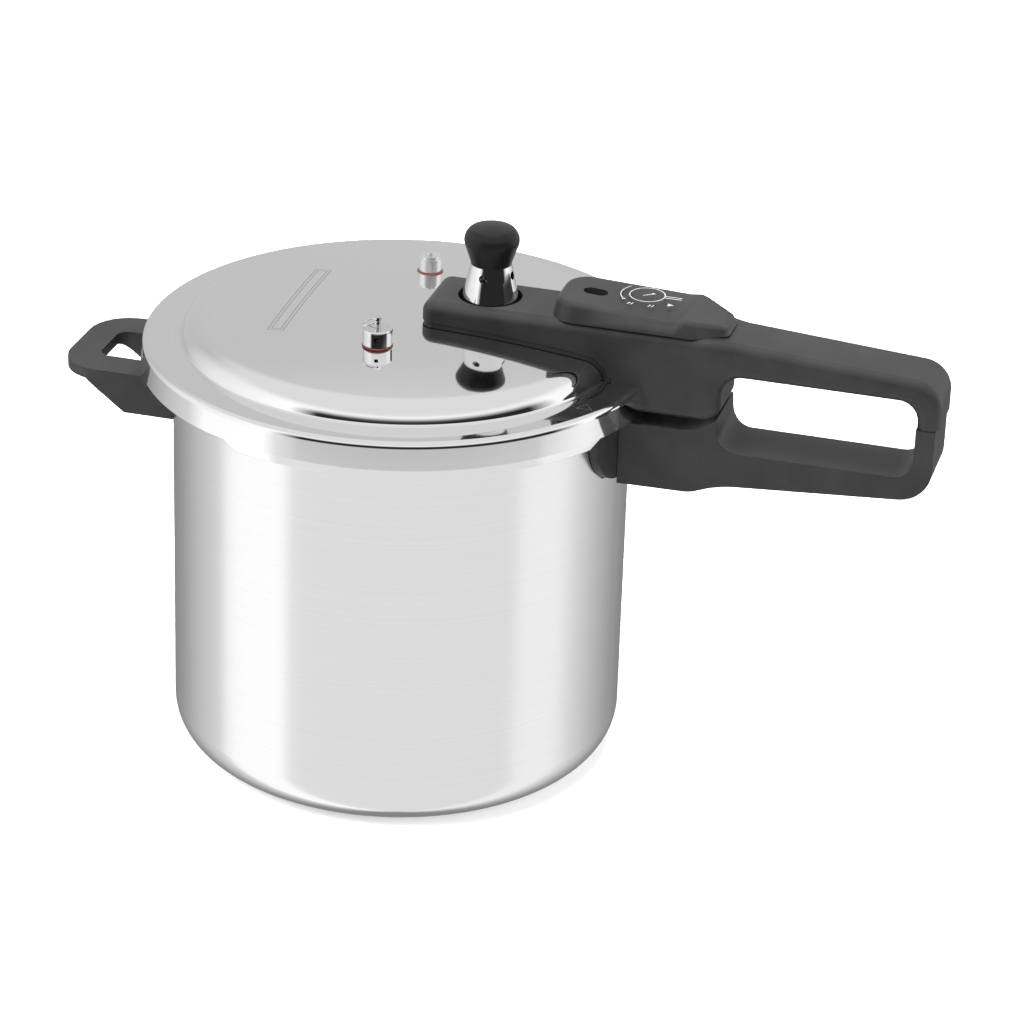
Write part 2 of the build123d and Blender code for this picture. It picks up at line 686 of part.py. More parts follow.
def make_vent_nut():
    nut = hexagon(vent_nut_flats, recess_floor, recess_floor + vent_nut_height, vent_x)
    return nut - disc(vent_stem_radius + 0.05, recess_floor - 1, recess_floor + vent_nut_height + 1, vent_x)


def make_vent_screen():
    cup = disc(vent_screen_radius, vent_screen_bottom, vent_head_bottom, vent_x)
    cup -= disc(vent_screen_radius - 1, vent_screen_bottom + 1, vent_head_bottom + 1, vent_x)
    for turn in range(6):
        middle = Pos(vent_x, 0, vent_screen_bottom + 3.4) * Rot(0, 0, turn * 60)
        cup -= middle * Pos(vent_screen_radius - 0.4, 0, 0) * Box(4, 1.6, 2.4)
    return cup


# ---------------------------------------------------------------- weight
def make_weight_body():
    outline = Polyline((0, weight_base), (weight_base_radius, weight_base),
                       (weight_base_radius, weight_base + 1.0), (weight_top_radius, weight_top),
                       (0, weight_top), (0, weight_base))
    body = Pos(vent_x, 0, 0) * revolve(Plane.XZ * make_face(outline), Axis.Z)
    body -= disc(vent_nut_flats / 2 + 2.4, weight_base - 1, weight_base + 4.0, vent_x)
    body -= disc(vent_stem_radius + 0.8, weight_base, weight_cavity_top, vent_x)
    body -= disc(weight_stud_radius + 0.05, weight_cavity_top - 1, weight_top + 1, vent_x)
    for turn in range(4):
        drill = Pos(vent_x, 0, weight_hole_height) * Rot(0, 0, weight_hole_azimuth + turn * 90) * Rot(0, 90, 0)
        body -= drill * Cylinder(weight_hole_radius, weight_base_radius + 4, align=LOW)
    return body


def make_weight_knob():
    bore = weight_stud_radius + 0.05
    bore_top = needle_stud_top + 0.2
    neck = weight_top_radius - 0.2
    waist_z = weight_top + 9.5
    shoulder = weight_knob_radius - 3.2
    crown = 1.2
    crown_sphere = (shoulder ** 2 + crown ** 2) / (2 * crown)
    half_lean = math.asin(shoulder / crown_sphere) / 2
    crown_middle = (crown_sphere * math.sin(half_lean),
                    weight_knob_top - crown_sphere * (1 - math.cos(half_lean)))
    outline = Curve() + [
        Polyline((0, bore_top), (bore, bore_top), (bore, weight_top), (neck, weight_top)),
        ThreePointArc((neck, weight_top), (neck + 1.5, weight_top + 4.6), (weight_knob_radius - 0.4, waist_z)),
        ThreePointArc((weight_knob_radius - 0.4, waist_z), (weight_knob_radius, waist_z + 3.2),
                      (shoulder, weight_knob_top - crown)),
        ThreePointArc((shoulder, weight_knob_top - crown), crown_middle, (0, weight_knob_top)),
        Line((0, weight_knob_top), (0, bore_top)),
    ]
    return Pos(vent_x, 0, 0) * revolve(Plane.XZ * make_face(outline), Axis.Z)


def make_weight_needle():
    tip = Pos(vent_x, 0, needle_seat - 1.8) * Cone(0.4, 1.15, 1.8, align=LOW)
    seat = disc(3.0, needle_seat, weight_cavity_top, vent_x)
    stud = disc(weight_stud_radius, weight_cavity_top, needle_stud_top, vent_x)
    return tip + seat + stud


# ---------------------------------------------------------------- relief valves
def valve_nut(x, y):
    nut = hexagon(valve_nut_flats, valve_nut_low, valve_nut_high, x, y)
    return nut - disc(valve_tube_radius + 0.05, valve_nut_low - 1, valve_nut_high + 1, x, y)


def make_front_valve_body():
    x, y = front_x, front_y
    cap = disc(front_valve_radius, front_seal_top, front_valve_top, x, y)
    cap = fillet(cap.edges().group_by(Axis.Z)[-1], 1.2)
    body = cap + disc(valve_tube_radius, valve_tube_bottom, front_seal_top + 1, x, y)
    body -= disc(front_chamber_radius, front_seal_top + 1.2, front_valve_top - chamber_roof, x, y)
    body -= disc(valve_seat_bore, valve_tube_bottom - 1, front_seal_top + 2, x, y)
    body -= disc(stem_radius + stem_clearance, front_valve_top - chamber_roof - 1, front_valve_top + 1, x, y)
    window = Pos(x, y, front_seal_top + 3.6) * Rot(0, 0, 12) * Pos(0, -front_valve_radius, 0) * Box(1.9, 6, 1.9)
    return body - window


def make_front_valve_seal():
    return seal_over_lid(valve_tube_radius + 0.1, front_valve_radius + 0.2, front_seal_top, front_x, front_y)


def make_front_valve_stem():
    x, y = front_x, front_y
    plug = disc(3.4, front_plug_low, front_plug_high, x, y)
    pilot = disc(valve_seat_bore - 0.4, front_plug_low - 2, front_plug_low, x, y)
    stem = disc(stem_radius, front_plug_low, front_valve_top + 1, x, y)
    head = disc(stem_head_radius, front_valve_top + 0.4, ring_pivot_height + 1.7, x, y)
    cross = Pos(x, y, ring_pivot_height) * Rot(90, 0, 0) * Cylinder(ring_wire_radius + 0.3, 10)
    return plug + pilot + stem + head - cross


def coil_spring(radius, low, high, x, y):
    """Spring of round wire between two heights."""
    pitch = (high - low - 2 * spring_wire) / spring_turns
    path = Helix(pitch=pitch, height=pitch * spring_turns, radius=radius)
    section = Plane(origin=path @ 0, z_dir=path % 0) * Circle(spring_wire)
    return Pos(x, y, low + spring_wire) * sweep(section, path=path, is_frenet=True)


def make_front_valve_spring():
    return coil_spring(front_chamber_radius / 2, front_plug_high + 0.05, front_valve_top - chamber_roof - 0.05,
                       front_x, front_y)


def make_pull_ring():
    loop = Torus(ring_radius, ring_wire_radius)
    placed = Pos(-ring_radius, 0, 0) * loop
    return Pos(front_x, front_y, ring_pivot_height) * Rot(0, -ring_rest_angle, 0) * placed


def make_rear_valve_body():
    x, y = rear_x, rear_y
    cap = disc(rear_valve_radius, rear_seal_top, rear_valve_top - 1.6, x, y)
    step = disc(rear_valve_radius - 1.0, rear_valve_top - 1.6, rear_valve_top, x, y)
    body = cap + step + disc(valve_tube_radius, valve_tube_bottom, rear_seal_top + 1, x, y)
    body -= disc(rear_chamber_radius, rear_seal_top + 0.8, rear_valve_top - chamber_roof, x, y)
    body -= disc(valve_seat_bore, valve_tube_bottom - 1, rear_seal_top + 2, x, y)
    return body - disc(1.6, rear_valve_top - chamber_roof - 1, rear_valve_top + 1, x, y)


def make_rear_valve_seal():
    return seal_over_lid(valve_tube_radius + 0.1, rear_valve_radius + 0.8, rear_seal_top, rear_x, rear_y)


def make_rear_valve_piston():
    x, y = rear_x, rear_y
    plug = disc(2.8, rear_plug_low, rear_plug_high, x, y)
    pilot = disc(valve_seat_bore - 0.4, rear_plug_low - 2, rear_plug_low, x, y)
    return plug + pilot + disc(1.5, rear_plug_low, rear_valve_top + 1.4, x, y)


def make_rear_valve_spring():
    return coil_spring(2.25, rear_plug_high + 0.05, rear_valve_top - chamber_roof - 0.05, rear_x, rear_y)


# ---------------------------------------------------------------- pressure indicator
def make_float_bush():
    upper = disc(float_bush_radius, skirt_bottom, float_bush_top, float_x) - lid_form(0)
    lower = disc(float_bush_radius, float_bush_bottom, float_bush_top, float_x) & lid_form(-lid_wall)
    waist = disc(float_hole_radius, float_bush_bottom + 1, float_bush_top - 1, float_x)
    bush = upper + lower + waist
    return bush - disc(float_stem_radius + 0.1, float_bush_bottom - 1, float_bush_top + 1, float_x)


def make_float_pin():
    head_top = float_bush_bottom - float_lift - 0.3
    head = disc(float_head_radius, head_top - float_head_height, head_top, float_x)
    return head + disc(float_stem_radius, head_top, float_top - 2.0, float_x)


def make_float_clip():
    low = float_bush_top + 0.3
    return tube(float_head_radius, float_stem_radius, low, low + float_clip_thickness, float_x)


def make_float_indicator():
    low = upper_pocket_floor + 1.0
    return disc(float_cap_radius, low, float_top, float_x) - disc(float_stem_radius, low - 1, float_top - 2.0, float_x)


# ---------------------------------------------------------------- upper handle
def upper_outline():
    """Outline of the upper handle in the XZ plane, with the loop's upper half cut out."""
    r = loop_corner
    low = skirt_bottom
    end_low = handle_split + split_gap / 2
    rounding = upper_tip_round
    return [
        Polyline((arm_end_x, low), (arm_end_x, arm_top), (block_back_x - 10, arm_top),
                 (block_back_x + 3, arm_top - 1.5), (handle_tip_x - rounding, upper_tip_height)),
        ThreePointArc((handle_tip_x - rounding, upper_tip_height),
                      (handle_tip_x - 0.28 * rounding, upper_tip_height - 0.33 * rounding),
                      (handle_tip_x, upper_tip_height - rounding)),
        Polyline((handle_tip_x, upper_tip_height - rounding), (handle_tip_x, end_low),
                 (loop_right_x, end_low), (loop_right_x, loop_top - r)),
        RadiusArc((loop_right_x, loop_top - r), (loop_right_x - r, loop_top), -r),
        Line((loop_right_x - r, loop_top), (loop_left_x + r, loop_top)),
        RadiusArc((loop_left_x + r, loop_top), (loop_left_x, loop_top - r), -r),
        Line((loop_left_x, loop_top - r), (block_back_x, upper_block_bottom + 6)),
        ThreePointArc((block_back_x, upper_block_bottom + 6), (block_back_x - 2.8, upper_block_bottom + 2.2),
                      (block_back_x - 9.5, upper_block_bottom)),
        Polyline((block_back_x - 9.5, upper_block_bottom), (lid_radius - 4, upper_block_bottom), (lid_radius - 4, low),
                 (arm_end_x, low)),
    ]


def make_lid_handle():
    body = side_profile(handle_half_width + 1, *upper_outline())
    body &= handle_plan(handle_tip_x, arm_end_x, upper_block_bottom - 5, arm_top + 5)
    end_edges = body.edges().filter_by(Axis.Z).group_by(Axis.X)[0]
    body = fillet(end_edges, arm_end_round)
    body -= lid_form(lid_gap)
    body -= disc(lid_radius + lid_gap, upper_block_bottom - 5, skirt_bottom + 1)
    body -= disc(weight_base_radius + weight_recess_gap, recess_floor, arm_top + 1, vent_x)
    body -= disc(vent_stem_radius + 0.3, skirt_bottom, arm_top, vent_x)
    body -= block(lid_plate_start - 1, float_x + 6, lid_plate_half_width + 1.5, skirt_bottom, under_pocket_top)
    pocket_half = handle_half_width - 7.5
    pocket_end = block_back_x - 14
    body -= block(lid_screw_x - screw_head_radius, pocket_end, pocket_half, upper_pocket_floor, arm_top + 1)
    body -= block(lid_radius + 5.5, pocket_end, pocket_half + 2, upper_block_bottom + 5, arm_top + 1)
    body -= disc(lid_screw_radius + screw_clearance, under_pocket_top - 1, upper_pocket_floor + 1, lid_screw_x)
    return body - disc(float_hole_radius, under_pocket_top - 1, upper_pocket_floor + 1, float_x)


def cover_form(inset, top):
    """Outside or inside of the cover: flat roof, then a slope down to a narrow end."""
    half = handle_half_width - 0.5 - inset
    start = cover_start_x + inset
    end = cover_end_x - inset
    ramp_start = cover_end_x - cover_ramp
    corner = [(start, half), (ramp_start + 9, half), (end, 9.5 - inset / 2)]
    mirrored = [(x, -y) for x, y in reversed(corner)]
    solid = plan_outline(corner + mirrored, arm_top, top)
    solid = fillet(solid.edges().filter_by(Axis.Z).group_by(Axis.X)[0], cover_end_round - inset)
    ramp = side_profile(handle_half_width + 5, Polyline(
        (ramp_start, top), (end + 2, top - 6.5), (end + 2, top + 5), (ramp_start, top + 5), (ramp_start, top)))
    return solid - ramp


def make_handle_cover():
    cover = cover_form(0, cover_top)
    roof_edges = cover.faces().sort_by(Axis.Z)[-1].edges()
    cover = fillet(roof_edges, 2.0)
    cover -= cover_form(cover_wall, cover_top - cover_wall)
    window = extrude(SlotOverall(window_length, window_width), 20)
    cover -= Pos(float_x, 0, arm_top) * window
    leg_bottom = upper_pocket_floor + 1.2
    leg_top = cover_top - cover_wall + 0.2
    for x in (cover_start_x + 29, cover_end_x - 27):
        for side in (-1, 1):
            leg = Pos(x, side * (handle_half_width - 8.9), (leg_bottom + leg_top) / 2)
            cover += leg * Box(9.0, 1.8, leg_top - leg_bottom)
    return cover


nodes = {
    "pot_body": make_pot_body(),
    "pot_bracket": make_pot_bracket(),
    "pot_bracket_rivets": make_rivets(pot_rivet_places),
    "lower_handle": make_lower_handle(),
    "lower_handle_guard": make_lower_handle_guard(),
    "lower_handle_screw": make_lower_handle_screw(),
    "lower_handle_washer": make_lower_handle_washer(),
    "helper_bracket": make_helper_bracket(),
    "helper_bracket_rivets": make_rivets(helper_rivet_places),
    "helper_handle": make_helper_handle(),
    "helper_screw": make_helper_screw(),
    "lid_shell": make_lid_shell(),
    "gasket": make_gasket(),
    "vent_pipe": make_vent_pipe(),
    "vent_seal": make_vent_seal(),
    "vent_nut": make_vent_nut(),
    "vent_screen": make_vent_screen(),
    "lid_bracket": make_lid_bracket(),
    "lid_bracket_rivets": make_lid_bracket_rivets(),
    "lid_handle_screw": make_lid_handle_screw(),
    "lid_handle": make_lid_handle(),
    "handle_cover": make_handle_cover(),
    "float_bush": make_float_bush(),
    "front_valve_body": make_front_valve_body(),
    "front_valve_seal": make_front_valve_seal(),
    "front_valve_nut": valve_nut(front_x, front_y),
    "front_valve_spring": make_front_valve_spring(),
    "rear_valve_body": make_rear_valve_body(),
    "rear_valve_seal": make_rear_valve_seal(),
    "rear_valve_nut": valve_nut(rear_x, rear_y),
    "rear_valve_spring": make_rear_valve_spring(),
    "weight_body": make_weight_body(),
    "weight_knob": make_weight_knob(),
    "weight_needle": make_weight_needle(),
    "float_pin": make_float_pin(),
    "float_clip": make_float_clip(),
    "float_indicator": make_float_indicator(),
    "front_valve_stem": make_front_valve_stem(),
    "pull_ring": make_pull_ring(),
    "rear_valve_piston": make_rear_valve_piston(),
}

os.makedirs("parts", exist_ok=True)
for name, shape in nodes.items():
    export_step(shape, f"parts/{name}.step")
    print(f"{name}: {len(shape.solids())} solid(s), {shape.volume / 1000:.2f} cm3")
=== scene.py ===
import json
import math

import bmesh
import bpy
from mathutils import Matrix, Vector


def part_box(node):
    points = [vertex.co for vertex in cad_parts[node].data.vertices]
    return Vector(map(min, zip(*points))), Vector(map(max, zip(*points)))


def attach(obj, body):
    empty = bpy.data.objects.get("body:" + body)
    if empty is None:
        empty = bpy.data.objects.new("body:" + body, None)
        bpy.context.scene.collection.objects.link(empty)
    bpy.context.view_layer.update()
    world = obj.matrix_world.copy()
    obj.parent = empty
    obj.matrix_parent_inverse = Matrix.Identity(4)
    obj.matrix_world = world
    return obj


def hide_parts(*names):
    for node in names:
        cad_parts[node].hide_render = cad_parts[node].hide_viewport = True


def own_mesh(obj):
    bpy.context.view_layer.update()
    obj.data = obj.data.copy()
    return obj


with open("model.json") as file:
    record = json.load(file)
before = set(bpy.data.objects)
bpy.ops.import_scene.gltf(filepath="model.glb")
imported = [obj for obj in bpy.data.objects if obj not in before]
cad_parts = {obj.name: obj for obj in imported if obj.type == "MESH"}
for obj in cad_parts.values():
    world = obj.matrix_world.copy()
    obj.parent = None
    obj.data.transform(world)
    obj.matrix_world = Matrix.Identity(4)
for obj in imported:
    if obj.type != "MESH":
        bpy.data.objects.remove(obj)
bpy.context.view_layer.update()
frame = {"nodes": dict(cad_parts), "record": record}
print("frame loaded:", len(frame["nodes"]), "CAD nodes")



cameraChoices = {
    "place": (0.4973, -1.6417, 0.9488),
    "azimuth": 15.0,        # degrees round from looking along +Y
    "elevation": 25.78,
    "roll": 1.94,
    "lens": 134.8,
}


def aimVector(azimuth, elevation):
    a, e = math.radians(azimuth), math.radians(elevation)
    return Vector((math.sin(a) * math.cos(e), -math.cos(a) * math.cos(e), math.sin(e)))


def placeCamera(choices):
    camera = bpy.data.cameras.new("studioCamera")
    camera.lens = choices["lens"]
    camera.sensor_width = 36.0
    holder = bpy.data.objects.new("studioCamera", camera)
    bpy.context.scene.collection.objects.link(holder)
    turn = (-aimVector(choices["azimuth"], choices["elevation"])).to_track_quat("-Z", "Y").to_matrix().to_4x4()
    turn = turn @ Matrix.Rotation(math.radians(choices["roll"]), 4, "Z")
    holder.matrix_world = Matrix.Translation(choices["place"]) @ turn
    bpy.context.scene.camera = holder


placeCamera(cameraChoices)


class Wire:
    # one output socket, so that shader maths is written as maths
    def __init__(self, tree, socket=None):
        self.tree = tree
        self.socket = socket

    def node(self, kind, settings=None, inputs=None, output=0):
        made = self.tree.nodes.new(kind)
        for name, value in (settings or {}).items():
            if name == "stops":
                self.fillRamp(made.color_ramp, value)
            else:
                setattr(made, name, value)
        for name, value in (inputs or {}).items():
            if isinstance(value, Wire):
                self.tree.links.new(value.socket, made.inputs[name])
            else:
                made.inputs[name].default_value = value
        return Wire(self.tree, made.outputs[output]) if made.outputs else None

    def fillRamp(self, ramp, stops):
        while len(ramp.elements) < len(stops):
            ramp.elements.new(0.5)
        for element, (place, shade) in zip(ramp.elements, stops):
            element.position = place
            element.color = (shade, shade, shade, 1.0)

    def maths(self, operation, first, second=0.0, third=0.0):
        return self.node("ShaderNodeMath", {"operation": operation}, {0: first, 1: second, 2: third})

    def __add__(self, other):
        return self.maths("ADD", self, other)

    def __radd__(self, other):
        return self.maths("ADD", other, self)

    def __sub__(self, other):
        return self.maths("SUBTRACT", self, other)

    def __rsub__(self, other):
        return self.maths("SUBTRACT", other, self)

    def __mul__(self, other):
        return self.maths("MULTIPLY", self, other)

    def __rmul__(self, other):
        return self.maths("MULTIPLY", other, self)

    def __truediv__(self, other):
        return self.maths("DIVIDE", self, other)

    def ramp(self, *stops):
        return self.node("ShaderNodeValToRGB", {"stops": stops}, {0: self})

    def between(self, low, high):
        return self.node("ShaderNodeMapRange", {"interpolation_type": "SMOOTHSTEP"},
                         {"Value": self, "From Min": low, "From Max": high})

    def tint(self, first, second):
        return self.node("ShaderNodeMix", {"data_type": "RGBA"}, {0: self, 6: first, 7: second}, output=2)


studioChoices = {
    "backdrop": 1.0,          # what the camera sees behind the object
    "floorRadius": 6.0,
    "floorColour": (0.93, 0.93, 0.93, 1.0),
    "floorGlow": 0.30,
    "keyPower": 26.0,
    "fillPower": 9.0,
    "topPower": 50.0,
}


def makeStudioWorld(choices):
    # pale studio: two tall soft panels at the sides, a soft ceiling and a darker camera side
    world = bpy.data.worlds.new("studioWorld")
    bpy.context.scene.world = world
    world.use_nodes = True
    tree = world.node_tree
    tree.nodes.clear()
    wire = Wire(tree)
    look = wire.node("ShaderNodeTexCoord")
    lookX = wire.node("ShaderNodeSeparateXYZ", {}, {0: look}, 0)
    lookY = wire.node("ShaderNodeSeparateXYZ", {}, {0: look}, 1)
    lookZ = wire.node("ShaderNodeSeparateXYZ", {}, {0: look}, 2)
    side = math.radians(cameraChoices["azimuth"])
    toCamera = lookX * math.sin(side) - lookY * math.cos(side)
    toRight = lookX * math.cos(side) + lookY * math.sin(side)
    turn = wire.maths("ARCTAN2", toRight, toCamera) / (2 * math.pi) + 0.5
    low = turn.ramp((0.05, 0.26), (0.11, 0.36), (0.17, 0.58), (0.215, 0.72), (0.245, 1.12), (0.335, 1.16),
                    (0.352, 0.84), (0.67, 0.82), (0.685, 0.98), (0.75, 0.98), (0.785, 0.76), (0.83, 0.56),
                    (0.89, 0.36), (0.95, 0.26))
    high = turn.ramp((0.0, 0.60), (0.12, 0.56), (0.20, 0.90), (0.345, 1.15), (0.735, 1.10), (0.80, 1.05),
                     (0.88, 0.72), (1.0, 0.60))
    screen = turn.ramp((0.345, 0.0), (0.385, 1.0), (0.69, 1.0), (0.735, 0.0))      # dark screen near the camera
    screen = screen * (1 - lookZ.between(0.26, 0.64))
    ceiling = lookZ.between(0.50, 0.78)
    upper = (high * (1 - ceiling) + 0.80 * ceiling) * (1 - screen * 0.98)
    shade = low + (upper - low) * lookZ.between(-0.36, -0.13)
    seen = wire.node("ShaderNodeLightPath", output=0)
    strength = shade * (1 - seen) + choices["backdrop"] * seen
    glow = wire.node("ShaderNodeBackground", {}, {"Color": (1.0, 1.0, 1.0, 1.0), "Strength": strength})
    wire.node("ShaderNodeOutputWorld", {}, {"Surface": glow})

def makeFloor(choices):
    bm = bmesh.new()
    bmesh.ops.create_circle(bm, cap_ends=True, segments=96, radius=choices["floorRadius"])
    mesh = bpy.data.meshes.new("studioFloor")
    bm.to_mesh(mesh)
    bm.free()
    floor = bpy.data.objects.new("studioFloor", mesh)
    floor.location.z = -0.0004
    bpy.context.scene.collection.objects.link(floor)
    floor.visible_glossy = False
    paint = bpy.data.materials.new("studioFloorPaint")
    paint.use_nodes = True
    shader = paint.node_tree.nodes["Principled BSDF"]
    shader.inputs["Base Color"].default_value = choices["floorColour"]
    shader.inputs["Roughness"].default_value = 0.9
    shader.inputs["Specular IOR Level"].default_value = 0.0
    shader.inputs["Emission Color"].default_value = (1.0, 1.0, 1.0, 1.0)
    shader.inputs["Emission Strength"].default_value = choices["floorGlow"]
    mesh.materials.append(paint)


def makeLamp(name, place, target, size, power):
    light = bpy.data.lights.new(name, "AREA")
    light.shape = "RECTANGLE"
    light.size, light.size_y = size
    light.energy = power
    holder = bpy.data.objects.new(name, light)
    holder.location = place
    holder.rotation_euler = (Vector(target) - Vector(place)).to_track_quat("-Z", "Y").to_euler()
    holder.visible_glossy = False
    bpy.context.scene.collection.objects.link(holder)


makeStudioWorld(studioChoices)
makeFloor(studioChoices)
makeLamp("keyPanel", (-0.9, -1.0, 1.5), (0.0, 0.0, 0.15), (0.9, 0.9), studioChoices["keyPower"])
makeLamp("fillPanel", (1.5, -0.6, 1.1), (0.05, 0.0, 0.15), (0.8, 1.2), studioChoices["fillPower"])
makeLamp("topPanel", (0.1, 0.0, 1.8), (0.1, 0.0, 0.2), (0.9, 0.9), studioChoices["topPower"])
bpy.context.scene.view_settings.view_transform = "Standard"
print("camera and studio ready")



def startFinish(name):
    finish = bpy.data.materials.new(name)
    finish.use_nodes = True
    finish.node_tree.nodes.clear()
    return finish, Wire(finish.node_tree)


def closeFinish(wire, inputs):
    shader = wire.node("ShaderNodeBsdfPrincipled", {}, inputs)
    wire.node("ShaderNodeOutputMaterial", {}, {"Surface": shader})


def spunMetal(name, choices):
    # fine rings left by spinning and polishing, which run round the pot's axis
    finish, wire = startFinish(name)
    place = wire.node("ShaderNodeTexCoord", output=3)
    x = wire.node("ShaderNodeSeparateXYZ", {}, {0: place}, 0)
    y = wire.node("ShaderNodeSeparateXYZ", {}, {0: place}, 1)
    z = wire.node("ShaderNodeSeparateXYZ", {}, {0: place}, 2)
    along = wire.maths("SQRT", x * x + y * y) - z
    ringPlace = wire.node("ShaderNodeCombineXYZ", {}, {0: x * 5.0, 1: y * 5.0, 2: along * choices["ringScale"]})
    rings = wire.node("ShaderNodeTexNoise", {}, {"Vector": ringPlace, "Scale": 1.0, "Detail": 3.0, "Roughness": 0.6})
    clouds = wire.node("ShaderNodeTexNoise", {}, {"Vector": place, "Scale": 16.0, "Detail": 3.0})
    colour = rings.between(0.25, 0.75).tint(choices["darkColour"], choices["paleColour"])
    rough = choices["roughness"] + (rings - 0.5) * choices["ringRoughness"] + (clouds - 0.5) * choices["cloudRoughness"]
    relief = wire.node("ShaderNodeBump", {}, {"Strength": choices["relief"], "Distance": 0.00002, "Height": rings})
    if "marks" in choices:
        # stamped lines: painted shade darkens their colour as if in their grooves, and their metal is made rougher
        cut = choices["marks"](x, y)
        colour = cut.tint(colour, choices["markColour"])
        rough = rough + cut * 0.4
    closeFinish(wire, {"Base Color": colour, "Metallic": 1.0, "Roughness": rough, "Normal": relief,
                       "Anisotropic": choices["anisotropy"]})
    return finish


markChoices = {
    "plateCentre": (-0.0514, -0.0057),     # double outline stamped in the dome
    "plateHalf": (0.0039, 0.0392),
    "plateTurn": -1.3,
    "plateInset": 0.0016,
    "arrowRadius": 0.1182,                 # triangle on the flange that shows the lid's starting place
    "arrowAzimuth": -27.0,
    "arrowSize": 0.0021,
    "lineHalf": 0.00016,
    "lineSoft": 0.00014,
}


def lidMarks(x, y):
    # 1 on the stamped lines, whose colour gets painted shade, 0 elsewhere, from distances to their outlines
    c = markChoices

    def larger(first, second):
        return first.maths("MAXIMUM", first, second)

    def size(value):
        return value.maths("ABSOLUTE", value)

    def line(distance):
        return 1 - size(distance).between(c["lineHalf"], c["lineHalf"] + c["lineSoft"])

    turn = math.radians(c["plateTurn"])
    across = (x - c["plateCentre"][0]) * math.cos(turn) - (y - c["plateCentre"][1]) * math.sin(turn)
    along = (x - c["plateCentre"][0]) * math.sin(turn) + (y - c["plateCentre"][1]) * math.cos(turn)
    plate = larger(size(across) - c["plateHalf"][0], size(along) - c["plateHalf"][1])
    way = math.radians(c["arrowAzimuth"])
    outward = x * math.cos(way) + y * math.sin(way) - c["arrowRadius"]
    sideways = y * math.cos(way) - x * math.sin(way)
    arrow = larger(outward * -1.0, size(sideways) * 0.866 + outward * 0.5) - c["arrowSize"]
    return larger(larger(line(plate), line(plate + c["plateInset"])), line(arrow))


def smoothMetal(name, choices):
    finish, wire = startFinish(name)
    place = wire.node("ShaderNodeTexCoord", output=3)
    clouds = wire.node("ShaderNodeTexNoise", {}, {"Vector": place, "Scale": choices["cloudScale"], "Detail": 4.0})
    specks = wire.node("ShaderNodeTexNoise", {}, {"Vector": place, "Scale": choices["speckScale"], "Detail": 2.0})
    colour = clouds.between(0.3, 0.7).tint(choices["darkColour"], choices["paleColour"])
    rough = choices["roughness"] + (specks - 0.5) * choices["speckRoughness"]
    relief = wire.node("ShaderNodeBump", {}, {"Strength": choices["relief"], "Distance": 0.00002, "Height": specks})
    closeFinish(wire, {"Base Color": colour, "Metallic": 1.0, "Roughness": rough, "Normal": relief})
    return finish


def mouldedPlastic(name, choices):
    # fine spark-eroded grain of a mould, with a faint unevenness from handling
    finish, wire = startFinish(name)
    place = wire.node("ShaderNodeTexCoord", output=3)
    grain = wire.node("ShaderNodeTexNoise", {}, {"Vector": place, "Scale": choices["grainScale"], "Detail": 3.0})
    pits = wire.node("ShaderNodeTexVoronoi", {"feature": "SMOOTH_F1"},
                     {"Vector": place, "Scale": choices["grainScale"] * 0.8})
    clouds = wire.node("ShaderNodeTexNoise", {}, {"Vector": place, "Scale": 45.0, "Detail": 4.0})
    colour = clouds.between(0.3, 0.7).tint(choices["darkColour"], choices["paleColour"])
    rough = choices["roughness"] + (clouds - 0.5) * 0.12 + (grain - 0.5) * 0.1
    height = grain * 0.6 + pits * 0.5
    relief = wire.node("ShaderNodeBump", {}, {"Strength": choices["relief"], "Distance": 0.00008, "Height": height})
    closeFinish(wire, {"Base Color": colour, "Roughness": rough, "Normal": relief,
                       "Specular IOR Level": choices["shine"]})
    return finish


def grey(value, warm=0.0):
    return (value * (1 + warm), value, value * (1 - warm), 1.0)


